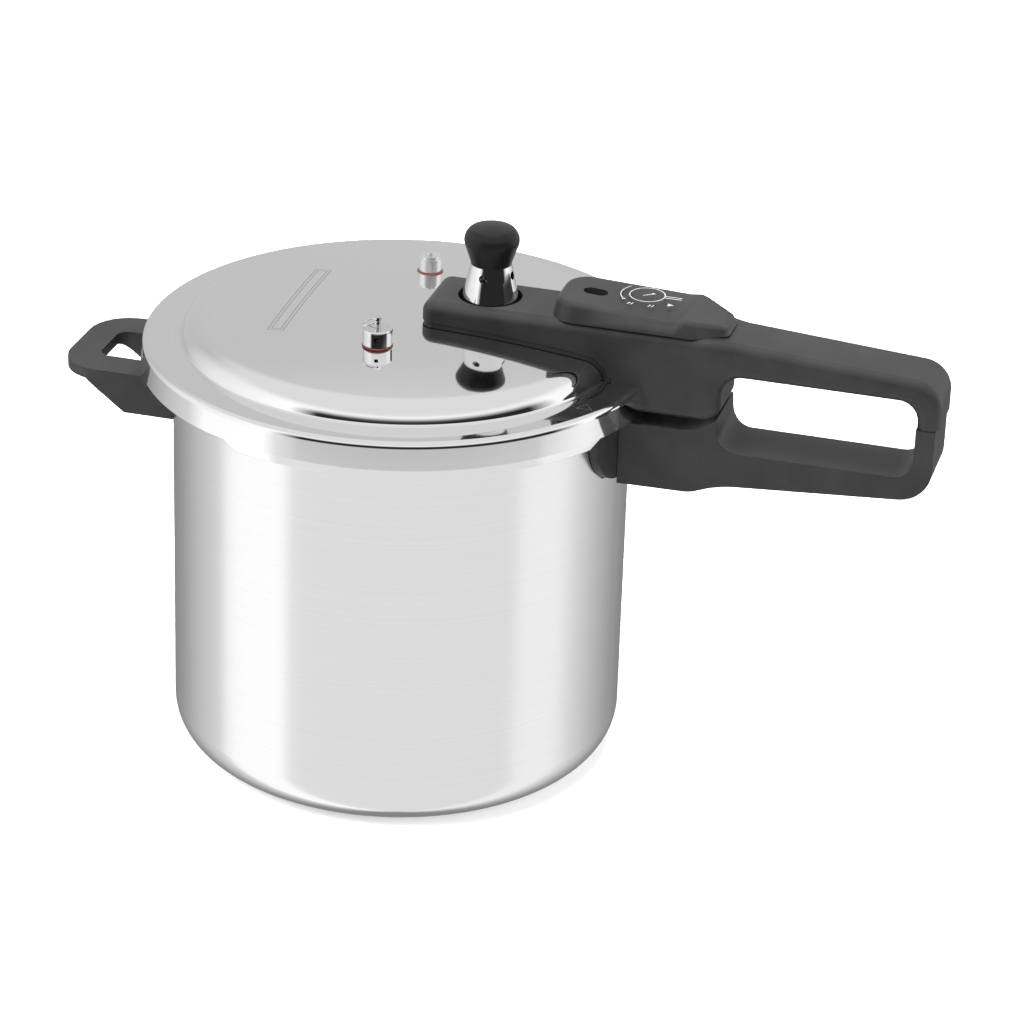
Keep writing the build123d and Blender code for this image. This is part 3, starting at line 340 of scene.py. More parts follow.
finishChoices = {
    "potAluminium": {"kind": spunMetal, "darkColour": grey(0.855), "paleColour": grey(0.885), "roughness": 0.15,
                     "ringScale": 2600.0, "ringRoughness": 0.025, "cloudRoughness": 0.02, "relief": 0.02,
                     "anisotropy": 0.5},
    "lidAluminium": {"kind": spunMetal, "darkColour": grey(0.87), "paleColour": grey(0.895), "roughness": 0.05,
                     "ringScale": 2200.0, "ringRoughness": 0.012, "cloudRoughness": 0.015, "relief": 0.012,
                     # the lid's stamped lines are painted darker: painted shade in their grooves
                     "anisotropy": 0.0, "marks": lidMarks, "markColour": grey(0.45)},
    "rivetAluminium": {"kind": smoothMetal, "darkColour": grey(0.72), "paleColour": grey(0.82), "roughness": 0.32,
                       "cloudScale": 60.0, "speckScale": 900.0, "speckRoughness": 0.12, "relief": 0.15},
    "chrome": {"kind": smoothMetal, "darkColour": grey(0.80), "paleColour": grey(0.85), "roughness": 0.04,
               "cloudScale": 80.0, "speckScale": 700.0, "speckRoughness": 0.03, "relief": 0.01},
    "satinNickel": {"kind": smoothMetal, "darkColour": grey(0.86), "paleColour": grey(0.93), "roughness": 0.38,
                    "cloudScale": 90.0, "speckScale": 900.0, "speckRoughness": 0.08, "relief": 0.06},
    "platedSteel": {"kind": smoothMetal, "darkColour": grey(0.55), "paleColour": grey(0.63), "roughness": 0.34,
                    "cloudScale": 120.0, "speckScale": 1200.0, "speckRoughness": 0.16, "relief": 0.15},
    "turnedBrass": {"kind": smoothMetal, "darkColour": (0.62, 0.47, 0.22, 1.0), "paleColour": (0.74, 0.60, 0.32, 1.0),
                    "roughness": 0.28, "cloudScale": 120.0, "speckScale": 900.0, "speckRoughness": 0.12, "relief": 0.1},
    "handlePlastic": {"kind": mouldedPlastic, "darkColour": grey(0.018), "paleColour": grey(0.024),
                      "roughness": 0.40, "grainScale": 1500.0, "relief": 0.22, "shine": 0.3},
    "coverPlastic": {"kind": mouldedPlastic, "darkColour": grey(0.019), "paleColour": grey(0.025),
                     "roughness": 0.38, "grainScale": 1700.0, "relief": 0.2, "shine": 0.3},
    "knobPlastic": {"kind": mouldedPlastic, "darkColour": grey(0.007), "paleColour": grey(0.010),
                    "roughness": 0.33, "grainScale": 1900.0, "relief": 0.12, "shine": 0.2},
    "indicatorPlastic": {"kind": mouldedPlastic, "darkColour": grey(0.008), "paleColour": grey(0.012),
                         "roughness": 0.55, "grainScale": 1800.0, "relief": 0.2, "shine": 0.4},
    "iconInk": {"kind": mouldedPlastic, "darkColour": grey(0.26), "paleColour": grey(0.42),
                "roughness": 0.55, "grainScale": 2200.0, "relief": 0.2, "shine": 0.3},
    "sealSilicone": {"kind": mouldedPlastic, "darkColour": (0.115, 0.033, 0.028, 1.0),
                     "paleColour": (0.16, 0.050, 0.042, 1.0), "roughness": 0.45, "grainScale": 1400.0,
                     "relief": 0.15, "shine": 0.4},
    "gasketRubber": {"kind": mouldedPlastic, "darkColour": grey(0.12), "paleColour": grey(0.15),
                     "roughness": 0.6, "grainScale": 1300.0, "relief": 0.3, "shine": 0.3},
}
finishes = {name: choices["kind"](name, choices) for name, choices in finishChoices.items()}
slotFinishes = {
    "pot_aluminium": "potAluminium", "lid_aluminium": "lidAluminium", "rivet_aluminium": "rivetAluminium",
    "handle_plastic": "handlePlastic", "cover_plastic": "coverPlastic", "knob_plastic": "knobPlastic",
    "indicator_plastic": "indicatorPlastic", "chrome": "chrome", "valve_nickel": "satinNickel",
    "steel": "platedSteel", "vent_brass": "turnedBrass", "seal_silicone": "sealSilicone",
    "gasket_rubber": "gasketRubber",
}


def paintCadNodes():
    slots = {part["node"]: part["material_slot"] for part in frame["record"]["subparts"]}
    for name, node in frame["nodes"].items():
        node.data.materials.clear()
        node.data.materials.append(finishes[slotFinishes[slots[name]]])


paintCadNodes()
print("finishes:", len(finishes))


def roundedFace(corners, place):
    # a flat outline with every corner rounded by its own amount
    bm = bmesh.new()
    ring = [bm.verts.new(place(u, v)) for u, v, rounding in corners]
    bm.faces.new(ring)
    for vert, (u, v, rounding) in zip(ring, corners):
        if rounding:
            bmesh.ops.bevel(bm, geom=[vert], offset=rounding, offset_type="OFFSET", affect="VERTICES",
                            segments=8, profile=0.5, material=-1)
    return bm


def extrudeAll(bm, shift, steps=1):
    last = list(bm.faces)
    for step in range(steps):
        made = bmesh.ops.extrude_face_region(bm, geom=last, use_keep_orig=True)["geom"]
        bmesh.ops.translate(bm, verts=[item for item in made if isinstance(item, bmesh.types.BMVert)],
                            vec=Vector(shift) / steps)
        if step:
            bmesh.ops.delete(bm, geom=last, context="FACES_ONLY")
        last = [item for item in made if isinstance(item, bmesh.types.BMFace)]


def roundEdges(bm, chosen, radius, segments=5):
    picked = [edge for edge in bm.edges if edge.is_manifold and chosen(edge)]
    bmesh.ops.bevel(bm, geom=picked, offset=radius, offset_type="OFFSET", affect="EDGES", segments=segments,
                    profile=0.5, material=-1, clamp_overlap=True)


def sliceAt(bm, places, normal):
    for place in places:
        geometry = list(bm.verts) + list(bm.edges) + list(bm.faces)
        bmesh.ops.bisect_plane(bm, geom=geometry, dist=1e-7, plane_co=place, plane_no=normal)


def middle(edge):
    return (edge.verts[0].co + edge.verts[1].co) / 2


def finishPiece(bm, name, finish, body, replaced=(), sharpAbove=42.0):
    bmesh.ops.remove_doubles(bm, verts=bm.verts, dist=2e-7)
    bmesh.ops.recalc_face_normals(bm, faces=bm.faces)
    mesh = bpy.data.meshes.new(name)
    bm.to_mesh(mesh)
    bm.free()
    for face in mesh.polygons:
        face.use_smooth = True
    mesh.set_sharp_from_angle(angle=math.radians(sharpAbove))
    mesh.materials.append(finishes[finish])
    piece = bpy.data.objects.new(name, mesh)
    bpy.context.scene.collection.objects.link(piece)
    weighted = piece.modifiers.new("evenNormals", "WEIGHTED_NORMAL")
    weighted.keep_sharp = True
    weighted.weight = 50
    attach(piece, body)
    if replaced:
        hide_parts(*replaced)
    return piece


def cutAway(piece, cutterMesh):
    # takes a hollow out of a piece with a boolean, and keeps the result as its mesh
    cutter = bpy.data.objects.new("cutter", cutterMesh)
    bpy.context.scene.collection.objects.link(cutter)
    cut = piece.modifiers.new("cut", "BOOLEAN")
    cut.operation = "DIFFERENCE"
    cut.solver = "EXACT"
    cut.object = cutter
    piece.modifiers.move(len(piece.modifiers) - 1, 0)
    shown = [modifier for modifier in piece.modifiers if modifier.name != "cut"]
    for modifier in shown:
        modifier.show_viewport = False
    bpy.context.view_layer.update()
    result = bpy.data.meshes.new_from_object(piece.evaluated_get(bpy.context.evaluated_depsgraph_get()))
    for modifier in shown:
        modifier.show_viewport = True
    piece.modifiers.remove(cut)
    old = piece.data
    piece.data = result
    bpy.data.meshes.remove(old)
    bpy.data.objects.remove(cutter)
    piece.data.set_sharp_from_angle(angle=math.radians(42.0))


def roundCutter(x, y, radius, low, high, stretch=0.0):
    bm = bmesh.new()
    bmesh.ops.create_cone(bm, cap_ends=True, segments=64, radius1=radius, radius2=radius, depth=high - low)
    for vert in bm.verts:
        vert.co.x += math.copysign(stretch, vert.co.x) if abs(vert.co.x) > 1e-9 else 0.0
    bmesh.ops.translate(bm, verts=bm.verts, vec=(x, y, (low + high) / 2))
    mesh = bpy.data.meshes.new("cutter")
    bm.to_mesh(mesh)
    bm.free()
    return mesh



lidChoices = {
    "wall": 0.0022,
    "domeSphere": 0.800,
    "land": 0.030,             # dome edge to the lid's outside
    "shoulder": 0.0125,
    "domeRise": 0.016,
    "rimRound": 0.003,
    "footRound": 0.0017,
    "skirtLean": 0.0008,       # the skirt is this much narrower at its top
    "skirtDepth": 0.0139,
    "lugThickness": 0.0026,
    "lugTuck": 0.0016,         # how far a lug's root goes up inside the skirt
    "lugInner": 0.117,
    "lugAngle": 30.0,
    "firstLug": 20.0,
    "endSlope": 0.85,          # degrees of slope per millimetre of depth, at the ends of a lug
    "steps": 192,
}
lidLow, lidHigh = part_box("lid_shell")
lidRadius = lidHigh.x
flangeTop = lidHigh.z - lidChoices["domeRise"]


def lidProfile(offset):
    # outside of the lid from the axis to the skirt, as (radius, height), grown by an offset
    c = lidChoices
    edge = lidRadius - c["land"]
    lean = math.asin(edge / c["domeSphere"])
    sphere, roll, corner = c["domeSphere"] + offset, c["shoulder"] + offset, c["rimRound"] + offset
    foot = c["footRound"] - offset
    sphereZ = lidHigh.z - c["domeSphere"]
    rollR = edge - c["shoulder"] * math.sin(lean)
    rollZ = sphereZ + (c["domeSphere"] - c["shoulder"]) * math.cos(lean)
    footZ = flangeTop + c["footRound"]
    footR = rollR + math.sqrt((c["shoulder"] + c["footRound"]) ** 2 - (footZ - rollZ) ** 2)
    steep = math.atan2(footR - rollR, footZ - rollZ)
    points = [(sphere * math.sin(lean * k / 24), sphereZ + sphere * math.cos(lean * k / 24)) for k in range(25)]
    for k in range(1, 15):
        angle = lean + (steep - lean) * k / 14
        points.append((rollR + roll * math.sin(angle), rollZ + roll * math.cos(angle)))
    for k in range(1, 7):
        angle = steep * (1 - k / 6)
        points.append((footR - foot * math.sin(angle), footZ - foot * math.cos(angle)))
    rimR = lidRadius - c["skirtLean"] - c["rimRound"]
    for k in range(9):
        angle = k * math.pi / 16
        points.append((rimR + corner * math.sin(angle), flangeTop - c["rimRound"] + corner * math.cos(angle)))
    return points


def makeLidPressing(c):
    bottom = flangeTop - c["skirtDepth"]
    outside = lidProfile(0.0) + [(lidRadius, bottom + 0.0006), (lidRadius - 0.0006, bottom)]
    inner = lidRadius - c["wall"]
    inside = [(inner + 0.0006, bottom), (inner, bottom + 0.0006)] + list(reversed(lidProfile(-c["wall"])))
    bm = bmesh.new()
    line = [bm.verts.new((radius, 0.0, height)) for radius, height in outside + inside]
    edges = [bm.edges.new(pair) for pair in zip(line, line[1:])]
    bmesh.ops.spin(bm, geom=line + edges, cent=(0, 0, 0), axis=(0, 0, 1), angle=2 * math.pi, steps=c["steps"],
                   use_merge=True)
    return finishPiece(bm, "lidPressing", "lidAluminium", "lid", ["lid_shell"])


def makeLidLugs(c):
    top = flangeTop - c["skirtDepth"] + c["lugTuck"]
    bottom = lidLow.z
    lip = bottom + c["lugThickness"]
    inner = lidRadius - c["wall"] + 0.0001
    outer = lidRadius - 0.0001         # just inside the skirt, so that the two walls never share a face
    half = math.radians(c["lugAngle"]) / 2
    bm = bmesh.new()
    shaped = set()
    for lug in range(6):
        centre = math.radians(c["firstLug"] + 60.0 * lug)
        section = [(inner, top), (outer, top), (outer, bottom), (c["lugInner"], bottom), (c["lugInner"], lip),
                   (inner, lip)]
        ring = [bm.verts.new((radius, 0.0, height)) for radius, height in section]
        face = bm.faces.new(ring)
        bmesh.ops.rotate(bm, verts=ring, cent=(0, 0, 0), matrix=Matrix.Rotation(centre - half, 3, "Z"))
        bmesh.ops.spin(bm, geom=[face], cent=(0, 0, 0), axis=(0, 0, 1), angle=2 * half, steps=20)
        for vert in [item for item in bm.verts if item not in shaped]:
            away = math.remainder(math.atan2(vert.co.y, vert.co.x) - centre, 2 * math.pi)
            slope = math.radians(c["endSlope"]) * (top - vert.co.z) * 1000
            vert.co = Matrix.Rotation(-away / half * slope, 3, "Z") @ vert.co
            shaped.add(vert)
    bmesh.ops.remove_doubles(bm, verts=bm.verts, dist=1e-7)
    bmesh.ops.recalc_face_normals(bm, faces=bm.faces)
    sharp = [edge for edge in bm.edges if edge.is_manifold and edge.calc_face_angle() > math.radians(35)
             and min(vert.co.z for vert in edge.verts) < top - 0.001]
    bmesh.ops.bevel(bm, geom=sharp, offset=0.0004, offset_type="OFFSET", affect="EDGES", segments=3, profile=0.5,
                    material=-1, clamp_overlap=True)
    return finishPiece(bm, "lidLugs", "lidAluminium", "lid")


makeLidPressing(lidChoices)
makeLidLugs(lidChoices)
print("lid pressed")



upperChoices = {
    "edgeRound": 0.0052,
    "loopRound": 0.0095,
    "tipRound": 0.013,
    "endRound": 0.011,
    "neckStart": 0.153,        # the handle narrows from the blocks to the bars
    "neckEnd": 0.169,
    "barHalf": 0.0170,
    "blockBack": 0.162,
    "loopTop": 0.2224,
    "loopRight": 0.2556,
    "barTopStart": 0.2400,
    "barTopEnd": 0.2332,
    "blockBottom": 0.1994,
    "recessRadius": 0.0155,
    "recessFloor": 0.2340,
    "sink": 0.0004,            # how far the liner sits into the lid, so that no light shows under it
    "linerHeight": 0.0015,     # the arm stands on a liner that follows the lid
    "linerEnd": 0.1112,
    "linerGap": 0.0003,
    "linerInset": 0.0004,
}


def narrowed(x, c):
    step = min(1.0, max(0.0, (x - c["neckStart"]) / (c["neckEnd"] - c["neckStart"])))
    return step * step * (3 - 2 * step)


def narrowHandle(bm, c, fullHalf):
    for vert in bm.verts:
        share = 1 - narrowed(vert.co.x, c) * (1 - c["barHalf"] / fullHalf)
        vert.co.y *= share


def hugLid(bm, outline):
    # the outline's own x is a radius of the lid, so it turns round the pot's axis as it goes out sideways
    places = {(round(radius, 5), round(height, 5)) for radius, height in outline}
    for vert in bm.verts:
        if (round(vert.co.x, 5), round(vert.co.z, 5)) in places:
            vert.co.x = math.sqrt(max(vert.co.x ** 2 - vert.co.y ** 2, 1e-9))


def makeLidHandle(c):
    low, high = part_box("lid_handle")
    half, armTop, tip = high.y, high.z, high.x
    start = low.x
    under = [(radius, height) for radius, height in lidProfile(c["linerHeight"])
             if start + 0.012 < radius < c["linerEnd"]][::2]
    landing = [(c["linerEnd"], flangeTop + c["linerHeight"]), (c["linerEnd"] + 0.0001, flangeTop - c["sink"])]
    landing += [point for point in lidProfile(-c["sink"]) if point[0] > c["linerEnd"] + 0.001]
    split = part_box("lower_handle")[1].z + 0.0004
    corners = [(start, armTop, 0), (c["blockBack"] - 0.010, armTop, 0.004), (c["blockBack"] + 0.003, c["barTopStart"], 0.004),
               (tip, c["barTopEnd"], c["tipRound"]), (tip, split, 0), (c["loopRight"], split, 0),
               (c["loopRight"], c["loopTop"], c["loopRound"]), (c["blockBack"], c["loopTop"], c["loopRound"]),
               (c["blockBack"], c["blockBottom"], 0.0075), (lidRadius - 0.0002, c["blockBottom"], 0)]
    corners += [(radius, height, 0) for radius, height in reversed(landing)]
    corners += [(radius, height, 0) for radius, height in reversed(under)]
    corners += [(start, lidHigh.z + c["linerHeight"] - 0.0002, 0)]
    bm = roundedFace(corners, lambda u, v: (u, -half, v))
    extrudeAll(bm, (0, 2 * half, 0), steps=2)
    bmesh.ops.recalc_face_normals(bm, faces=bm.faces)
    hugLid(bm, under + landing + [(lidRadius - 0.0002, c["blockBottom"])])
    roundEdges(bm, lambda e: middle(e).x < start + 0.0002 and abs(abs(middle(e).y) - half) < 1e-5
               and abs(e.verts[0].co.z - e.verts[1].co.z) > 0.004, c["endRound"], 8)

    def isRim(edge):
        point = middle(edge)
        across = sorted(abs(face.normal.y) for face in edge.link_faces)
        onEnd = point.x < start + c["endRound"] + 0.0002 and abs(point.z - armTop) < 1e-5
        onSide = across[1] > 0.9 and across[0] < 0.4
        buried = point.x < lidRadius + 0.001 and point.z < armTop - 0.001
        onSplit = abs(point.z - split) < 1e-5
        return (onSide or onEnd and abs(edge.calc_face_angle()) > 0.8) and not buried and not onSplit

    roundEdges(bm, isRim, c["edgeRound"], 6)
    sliceAt(bm, [(c["neckStart"] + 0.002 * k, 0, 0) for k in range(9)], (1, 0, 0))
    narrowHandle(bm, c, half)
    piece = finishPiece(bm, "lidHandleMoulding", "handlePlastic", "lid", ["lid_handle"])
    weightLow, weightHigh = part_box("weight_body")
    cutAway(piece, roundCutter((weightLow.x + weightHigh.x) / 2, 0.0, c["recessRadius"], c["recessFloor"],
                               armTop + 0.005))
    return piece


def makeArmLiner(c):
    # thin liner between the arm and the lid, set in a little so that a dark line shows between them
    low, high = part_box("lid_handle")
    half, start = high.y - c["linerInset"], low.x + c["linerInset"]

    def reach(offset):
        inside = [(radius, height) for radius, height in lidProfile(offset) if start + 0.012 < radius < c["linerEnd"]]
        return inside[::2] + [(c["linerEnd"] - 0.0004, flangeTop + offset)]

    top = reach(c["linerHeight"] - c["linerGap"])
    under = reach(-c["sink"])
    corners = [(start, lidHigh.z + c["linerHeight"] - c["linerGap"] - 0.0002, 0)]
    corners += [(radius, height, 0) for radius, height in top]
    corners += [(radius, height, 0) for radius, height in reversed(under)]
    corners += [(start, lidHigh.z - c["sink"], 0)]
    bm = roundedFace(corners, lambda u, v: (u, -half, v))
    extrudeAll(bm, (0, 2 * half, 0), steps=2)
    bmesh.ops.recalc_face_normals(bm, faces=bm.faces)
    hugLid(bm, top + under)
    roundEdges(bm, lambda e: middle(e).x < start + 0.0002 and abs(abs(middle(e).y) - half) < 1e-5
               and abs(e.verts[0].co.z - e.verts[1].co.z) > 0.0006, c["endRound"], 8)
    return finishPiece(bm, "armLiner", "handlePlastic", "lid")


makeLidHandle(upperChoices)
makeArmLiner(upperChoices)
print("upper handle moulded")



lowerChoices = {
    "edgeRound": 0.0050,
    "loopRound": 0.0095,
    "tipRound": 0.015,
    "start": 0.1161,           # face against the guard
    "blockTop": 0.1945,
    "finTop": 0.2010,
    "loopBottom": 0.1842,
    "loopRight": 0.2556,
    "barBottom": 0.1740,
    "blockBottom": 0.1618,
}


def makeLowerHandle(c, upper):
    low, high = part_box("lower_handle")
    half, tip, split = high.y, high.x, high.z
    back = upper["blockBack"]
    corners = [(c["start"], c["blockTop"], 0), (back - 0.012, c["blockTop"], 0.006), (back - 0.001, c["finTop"], 0.0012),
               (back, c["loopBottom"], c["loopRound"]), (c["loopRight"], c["loopBottom"], c["loopRound"]),
               (c["loopRight"], split, 0), (tip, split, 0), (tip, c["barBottom"], c["tipRound"]),
               (back + 0.008, c["blockBottom"] + 0.005, 0.004), (back - 0.004, c["blockBottom"] + 0.0036, 0.003),
               (back - 0.012, c["blockBottom"] + 0.0006, 0.003), (c["start"], c["blockBottom"], 0)]
    bm = roundedFace(corners, lambda u, v: (u, -half, v))
    extrudeAll(bm, (0, 2 * half, 0), steps=2)
    bmesh.ops.recalc_face_normals(bm, faces=bm.faces)
    for vert in bm.verts:
        if vert.co.x < c["start"] + 1e-5:
            vert.co.x = math.sqrt(vert.co.x ** 2 - vert.co.y ** 2)

    def isRim(edge):
        point = middle(edge)
        across = sorted(abs(face.normal.y) for face in edge.link_faces)
        return (across[1] > 0.9 and across[0] < 0.4 and abs(point.z - split) > 1e-5
                and point.x > c["start"] + 0.0005)

    roundEdges(bm, isRim, c["edgeRound"], 6)
    sliceAt(bm, [(upper["neckStart"] + 0.002 * k, 0, 0) for k in range(9)], (1, 0, 0))
    narrowHandle(bm, upper, half)
    return finishPiece(bm, "lowerHandleMoulding", "handlePlastic", "pot", ["lower_handle"])


makeLowerHandle(lowerChoices, upperChoices)
print("lower handle moulded")



coverChoices = {
    "endRound": 0.012,
    "rampStart": 0.138,
    "rampDrop": 0.0056,
    "noseHalf": 0.0098,
    "edgeRound": 0.0030,
    "draft": 0.0012,
    "windowHalf": 0.0038,
    "windowStretch": 0.0022,
    "windowX": 0.0951,
    "iconCentre": (0.1195, 0.0035),
    "iconRadius": 0.0085,
    "inkWidth": 0.00048,
    "inkThickness": 0.00009,
}


def makeCover(c):
    low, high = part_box("handle_cover")
    half, start, end, top = high.y, low.x, high.x, high.z
    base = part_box("lid_handle")[1].z - 0.0003
    corners = [(start, -half, c["endRound"]), (c["rampStart"] + 0.009, -half, 0.003), (end, -c["noseHalf"], 0.002),
               (end, c["noseHalf"], 0.002), (c["rampStart"] + 0.009, half, 0.003), (start, half, c["endRound"])]
    bm = roundedFace(corners, lambda u, v: (u, v, base))
    extrudeAll(bm, (0, 0, top - base))
    bmesh.ops.recalc_face_normals(bm, faces=bm.faces)
    sliceAt(bm, [(c["rampStart"], 0, 0)], (1, 0, 0))
    middleX = (start + end) / 2
    for vert in bm.verts:
        if vert.co.z > top - 1e-5:
            vert.co.z -= c["rampDrop"] * max(0.0, (vert.co.x - c["rampStart"]) / (end - c["rampStart"]))
            vert.co.y *= 1 - c["draft"] / half
            vert.co.x = middleX + (vert.co.x - middleX) * (1 - 2 * c["draft"] / (end - start))
    roof = [edge for edge in bm.edges if min(v.co.z for v in edge.verts) > base + 0.001
            and edge.calc_face_angle() > math.radians(40)]
    bmesh.ops.bevel(bm, geom=roof, offset=c["edgeRound"], offset_type="OFFSET", affect="EDGES", segments=6,
                    profile=0.5, material=-1, clamp_overlap=True)
    piece = finishPiece(bm, "indicatorCover", "coverPlastic", "lid", ["handle_cover"])
    cutAway(piece, roundCutter(c["windowX"], 0.0, c["windowHalf"], base + 0.0005, top + 0.002, c["windowStretch"]))
    return piece


def makeCoverIcon(c):
    # printed picture of the pot from above and the way to turn its lid
    centreX, centreY = c["iconCentre"]
    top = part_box("handle_cover")[1].z
    ink = c["inkWidth"]
    bm = bmesh.new()

    def arc(x, y, radius, fromAngle, sweep, steps=24):
        ends = [bm.verts.new((radius - ink / 2, 0, 0)), bm.verts.new((radius + ink / 2, 0, 0))]
        edge = bm.edges.new(ends)
        bmesh.ops.rotate(bm, verts=ends, cent=(0, 0, 0), matrix=Matrix.Rotation(math.radians(fromAngle), 3, "Z"))
        made = bmesh.ops.spin(bm, geom=[edge] + ends, cent=(0, 0, 0), axis=(0, 0, 1), angle=math.radians(sweep),
                              steps=steps, use_merge=sweep == 360)
        round_ = {vert for item in made["geom_last"] if isinstance(item, bmesh.types.BMVert) for vert in [item]}
        shifted = [vert for vert in bm.verts if vert not in placed]
        bmesh.ops.translate(bm, verts=shifted, vec=(x, y, 0))
        placed.update(shifted)
        return round_

    def bar(x, y, length, width, angle):
        made = bmesh.ops.create_grid(bm, x_segments=1, y_segments=1, size=0.5)["verts"]
        bmesh.ops.scale(bm, verts=made, vec=(length, width, 1))
        bmesh.ops.rotate(bm, verts=made, cent=(0, 0, 0), matrix=Matrix.Rotation(math.radians(angle), 3, "Z"))
        bmesh.ops.translate(bm, verts=made, vec=(x, y, 0))
        placed.update(made)

    def wedge(x, y, size, angle):
        made = bmesh.ops.create_circle(bm, cap_ends=True, segments=3, radius=size)["verts"]
        bmesh.ops.rotate(bm, verts=made, cent=(0, 0, 0), matrix=Matrix.Rotation(math.radians(angle), 3, "Z"))
        bmesh.ops.translate(bm, verts=made, vec=(x, y, 0))
        placed.update(made)

    placed = set()
    radius = c["iconRadius"]
    arc(centreX, centreY, radius, 0, 360, 48)
    arc(centreX, centreY, radius + 0.0042, 140, 80)
    wedge(centreX + (radius + 0.0042) * math.cos(math.radians(220)),
          centreY + (radius + 0.0042) * math.sin(math.radians(220)), 0.0013, 290)
    bar(centreX + radius + 0.0042, centreY + 0.0010, 0.0084, ink, 0)
    bar(centreX + radius + 0.0042, centreY - 0.0010, 0.0084, ink, 0)
    bar(centreX, centreY, 0.0046, ink, 40)
    wedge(centreX + 0.0024, centreY + 0.0020, 0.0012, 40)
    wedge(centreX + 0.0130, centreY - 0.0088, 0.0018, 150)
    for x in (-0.0060, -0.0044, 0.0040, 0.0056):
        bar(centreX + x, centreY - 0.0128, 0.0026, ink, 70)
    bmesh.ops.recalc_face_normals(bm, faces=bm.faces)
    made = bmesh.ops.extrude_face_region(bm, geom=list(bm.faces), use_keep_orig=True)["geom"]
    bmesh.ops.translate(bm, verts=[item for item in made if isinstance(item, bmesh.types.BMVert)],
                        vec=(0, 0, c["inkThickness"] + 0.00005))
    bmesh.ops.translate(bm, verts=bm.verts, vec=(0, 0, top - 0.00005))
    return finishPiece(bm, "coverIcon", "iconInk", "lid")


makeCover(coverChoices)
makeCoverIcon(coverChoices)
print("cover moulded")



helperChoices = {
    "rootX": 0.1124,
    "holeStart": 0.123,
    "holeEnd": 0.153,
    "holeHalf": 0.0157,
    "holeRound": 0.006,
    "cornerRound": 0.021,
    "lowKink": 0.1327,
    "tipBottom": 0.1825,
    "topRound": 0.0048,
    "bottomRound": 0.0012,
}


def makeHelper(c):
    low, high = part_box("helper_handle")
    half, tip, top, bottom = high.y, -low.x, high.z, low.z
    outer = roundedFace([(c["rootX"], -half, 0.0004), (tip, -half, c["cornerRound"]), (tip, half, c["cornerRound"]),
                         (c["rootX"], half, 0.0004)], lambda u, v: (-u, v, top))
    hole = roundedFace([(c["holeStart"], -c["holeHalf"], c["holeRound"]), (c["holeEnd"], -c["holeHalf"], c["holeRound"]),
                        (c["holeEnd"], c["holeHalf"], c["holeRound"]), (c["holeStart"], c["holeHalf"], c["holeRound"])],
                       lambda u, v: (-u, v, top))
    holeMesh = bpy.data.meshes.new("holeOutline")
    hole.to_mesh(holeMesh)
    hole.free()
    outer.from_mesh(holeMesh)
    bpy.data.meshes.remove(holeMesh)
    bmesh.ops.delete(outer, geom=list(outer.faces), context="FACES_ONLY")
    bmesh.ops.bridge_loops(outer, edges=list(outer.edges))
    extrudeAll(outer, (0, 0, bottom - top))
    sliceAt(outer, [(-c["lowKink"], 0, 0), (-c["holeEnd"], 0, 0)], (1, 0, 0))
    bmesh.ops.recalc_face_normals(outer, faces=outer.faces)
    for vert in outer.verts:
        x = -vert.co.x
        if vert.co.z < top - 1e-5:
            share = min(1.0, max(0.0, (x - c["lowKink"]) / (c["holeEnd"] - c["lowKink"])))
            vert.co.z = bottom + share * (c["tipBottom"] - bottom)
    flatTop = [edge for edge in outer.edges if min(v.co.z for v in edge.verts) > top - 1e-6
               and edge.is_manifold and edge.calc_face_angle() > 0.8 and middle(edge).x < -c["rootX"] - 0.001]
    bmesh.ops.bevel(outer, geom=flatTop, offset=c["topRound"], offset_type="OFFSET", affect="EDGES", segments=6,
                    profile=0.5, material=-1, clamp_overlap=True)
    for vert in outer.verts:
        if vert.co.x > -c["rootX"] - 0.0006:
            vert.co.x = -math.sqrt(c["rootX"] ** 2 - vert.co.y ** 2)
    return finishPiece(outer, "helperMoulding", "handlePlastic", "pot", ["helper_handle"])


makeHelper(helperChoices)
print("helper handle moulded")

sealChoices = {
    "height": 0.0007,          # what shows of a seal above the lid
    "lidDrop": 0.00146,        # how far the dome has fallen where the valves stand
    "collarRound": 0.0003,
    "boreShare": 0.775,        # bore of seal and collar, as a share of the valve cap
    "steps": 64,
}


def spunPiece(outline, x, y, name, finish, replaced=()):
    # a closed turned piece on its own upright axis
    bm = bmesh.new()
    ring = [bm.verts.new((radius, 0.0, height)) for radius, height in outline]
    edges = [bm.edges.new(pair) for pair in zip(ring, ring[1:] + ring[:1])]
    bmesh.ops.spin(bm, geom=ring + edges, cent=(0, 0, 0), axis=(0, 0, 1), angle=2 * math.pi,
                   steps=sealChoices["steps"], use_merge=True)
    bmesh.ops.translate(bm, verts=bm.verts, vec=(x, y, 0))
    return finishPiece(bm, name, finish, "lid", replaced)


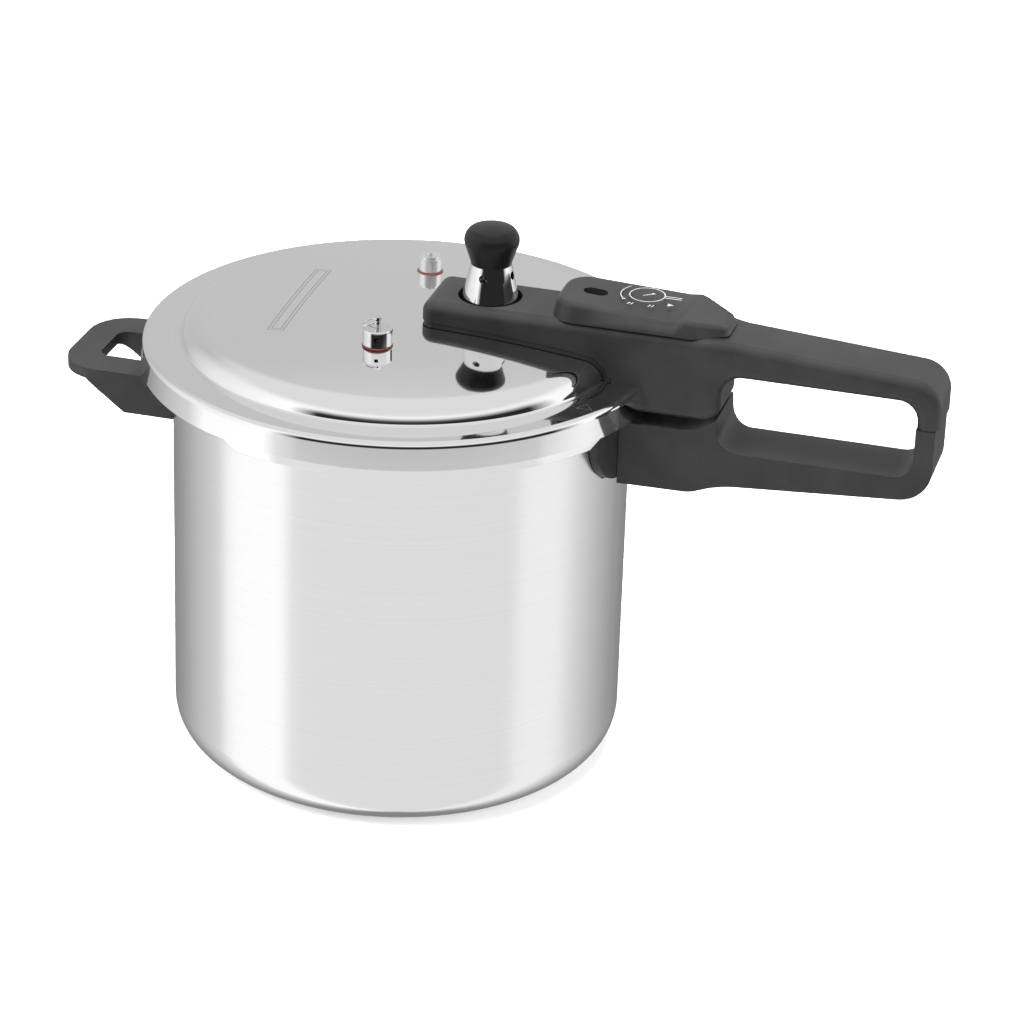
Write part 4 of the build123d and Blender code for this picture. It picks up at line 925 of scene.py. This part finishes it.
def makeSeal(c, seal, body, name, finish):
    # a thin seal just above the lid, and a turned collar between it and the valve's cap
    low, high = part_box(seal)
    capLow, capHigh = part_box(body)
    x, y = (low.x + high.x) / 2, (low.y + high.y) / 2
    radius, cap = high.x - x, (capHigh.x - capLow.x) / 2
    bore = cap * c["boreShare"]
    lidTop = lidHigh.z - c["lidDrop"]
    sealTop = lidTop + c["height"]
    spunPiece([(bore, low.z), (radius - 0.0004, low.z), (radius, low.z + 0.0004), (radius, sealTop - 0.0003),
               (radius - 0.0003, sealTop), (bore, sealTop)], x, y, name + "Seal", "sealSilicone",
              [seal])
    spunPiece([(bore, sealTop), (cap - c["collarRound"], sealTop), (cap, sealTop + c["collarRound"]),
               (cap, high.z + 0.0002), (bore, high.z + 0.0002)], x, y, name + "Collar", finish)


makeSeal(sealChoices, "front_valve_seal", "front_valve_body", "front", "chrome")
makeSeal(sealChoices, "rear_valve_seal", "rear_valve_body", "rear", "satinNickel")
print("valve seals turned")


springChoices = {
    "wire": 0.00025,
    "turns": 2.0,
    "stepsPerTurn": 28,
    "frontTravel": 0.0016,     # how far each valve lifts
    "rearTravel": 0.0010,
}


def makeSpring(c, node, name):
    low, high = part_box(node)
    x, y = (low.x + high.x) / 2, (low.y + high.y) / 2
    radius = (high.x - low.x) / 2 - c["wire"]
    steps = round(c["turns"] * c["stepsPerTurn"])
    rise = high.z - low.z - 2 * c["wire"]
    bm = bmesh.new()
    wire = bmesh.ops.create_circle(bm, cap_ends=True, segments=12, radius=c["wire"])["verts"]
    bmesh.ops.rotate(bm, verts=wire, cent=(0, 0, 0), matrix=Matrix.Rotation(math.pi / 2, 3, "X"))
    bmesh.ops.translate(bm, verts=wire, vec=(x + radius, y, low.z + c["wire"]))
    bmesh.ops.spin(bm, geom=list(bm.faces), cent=(x, y, 0), axis=(0, 0, 1), dvec=(0, 0, rise / steps),
                   angle=2 * math.pi * c["turns"], steps=steps)
    piece = finishPiece(bm, name, "platedSteel", "lid", [node])
    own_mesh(piece)


makeSpring(springChoices, "front_valve_spring", "frontSpring")
makeSpring(springChoices, "rear_valve_spring", "rearSpring")
print("valve springs coiled")
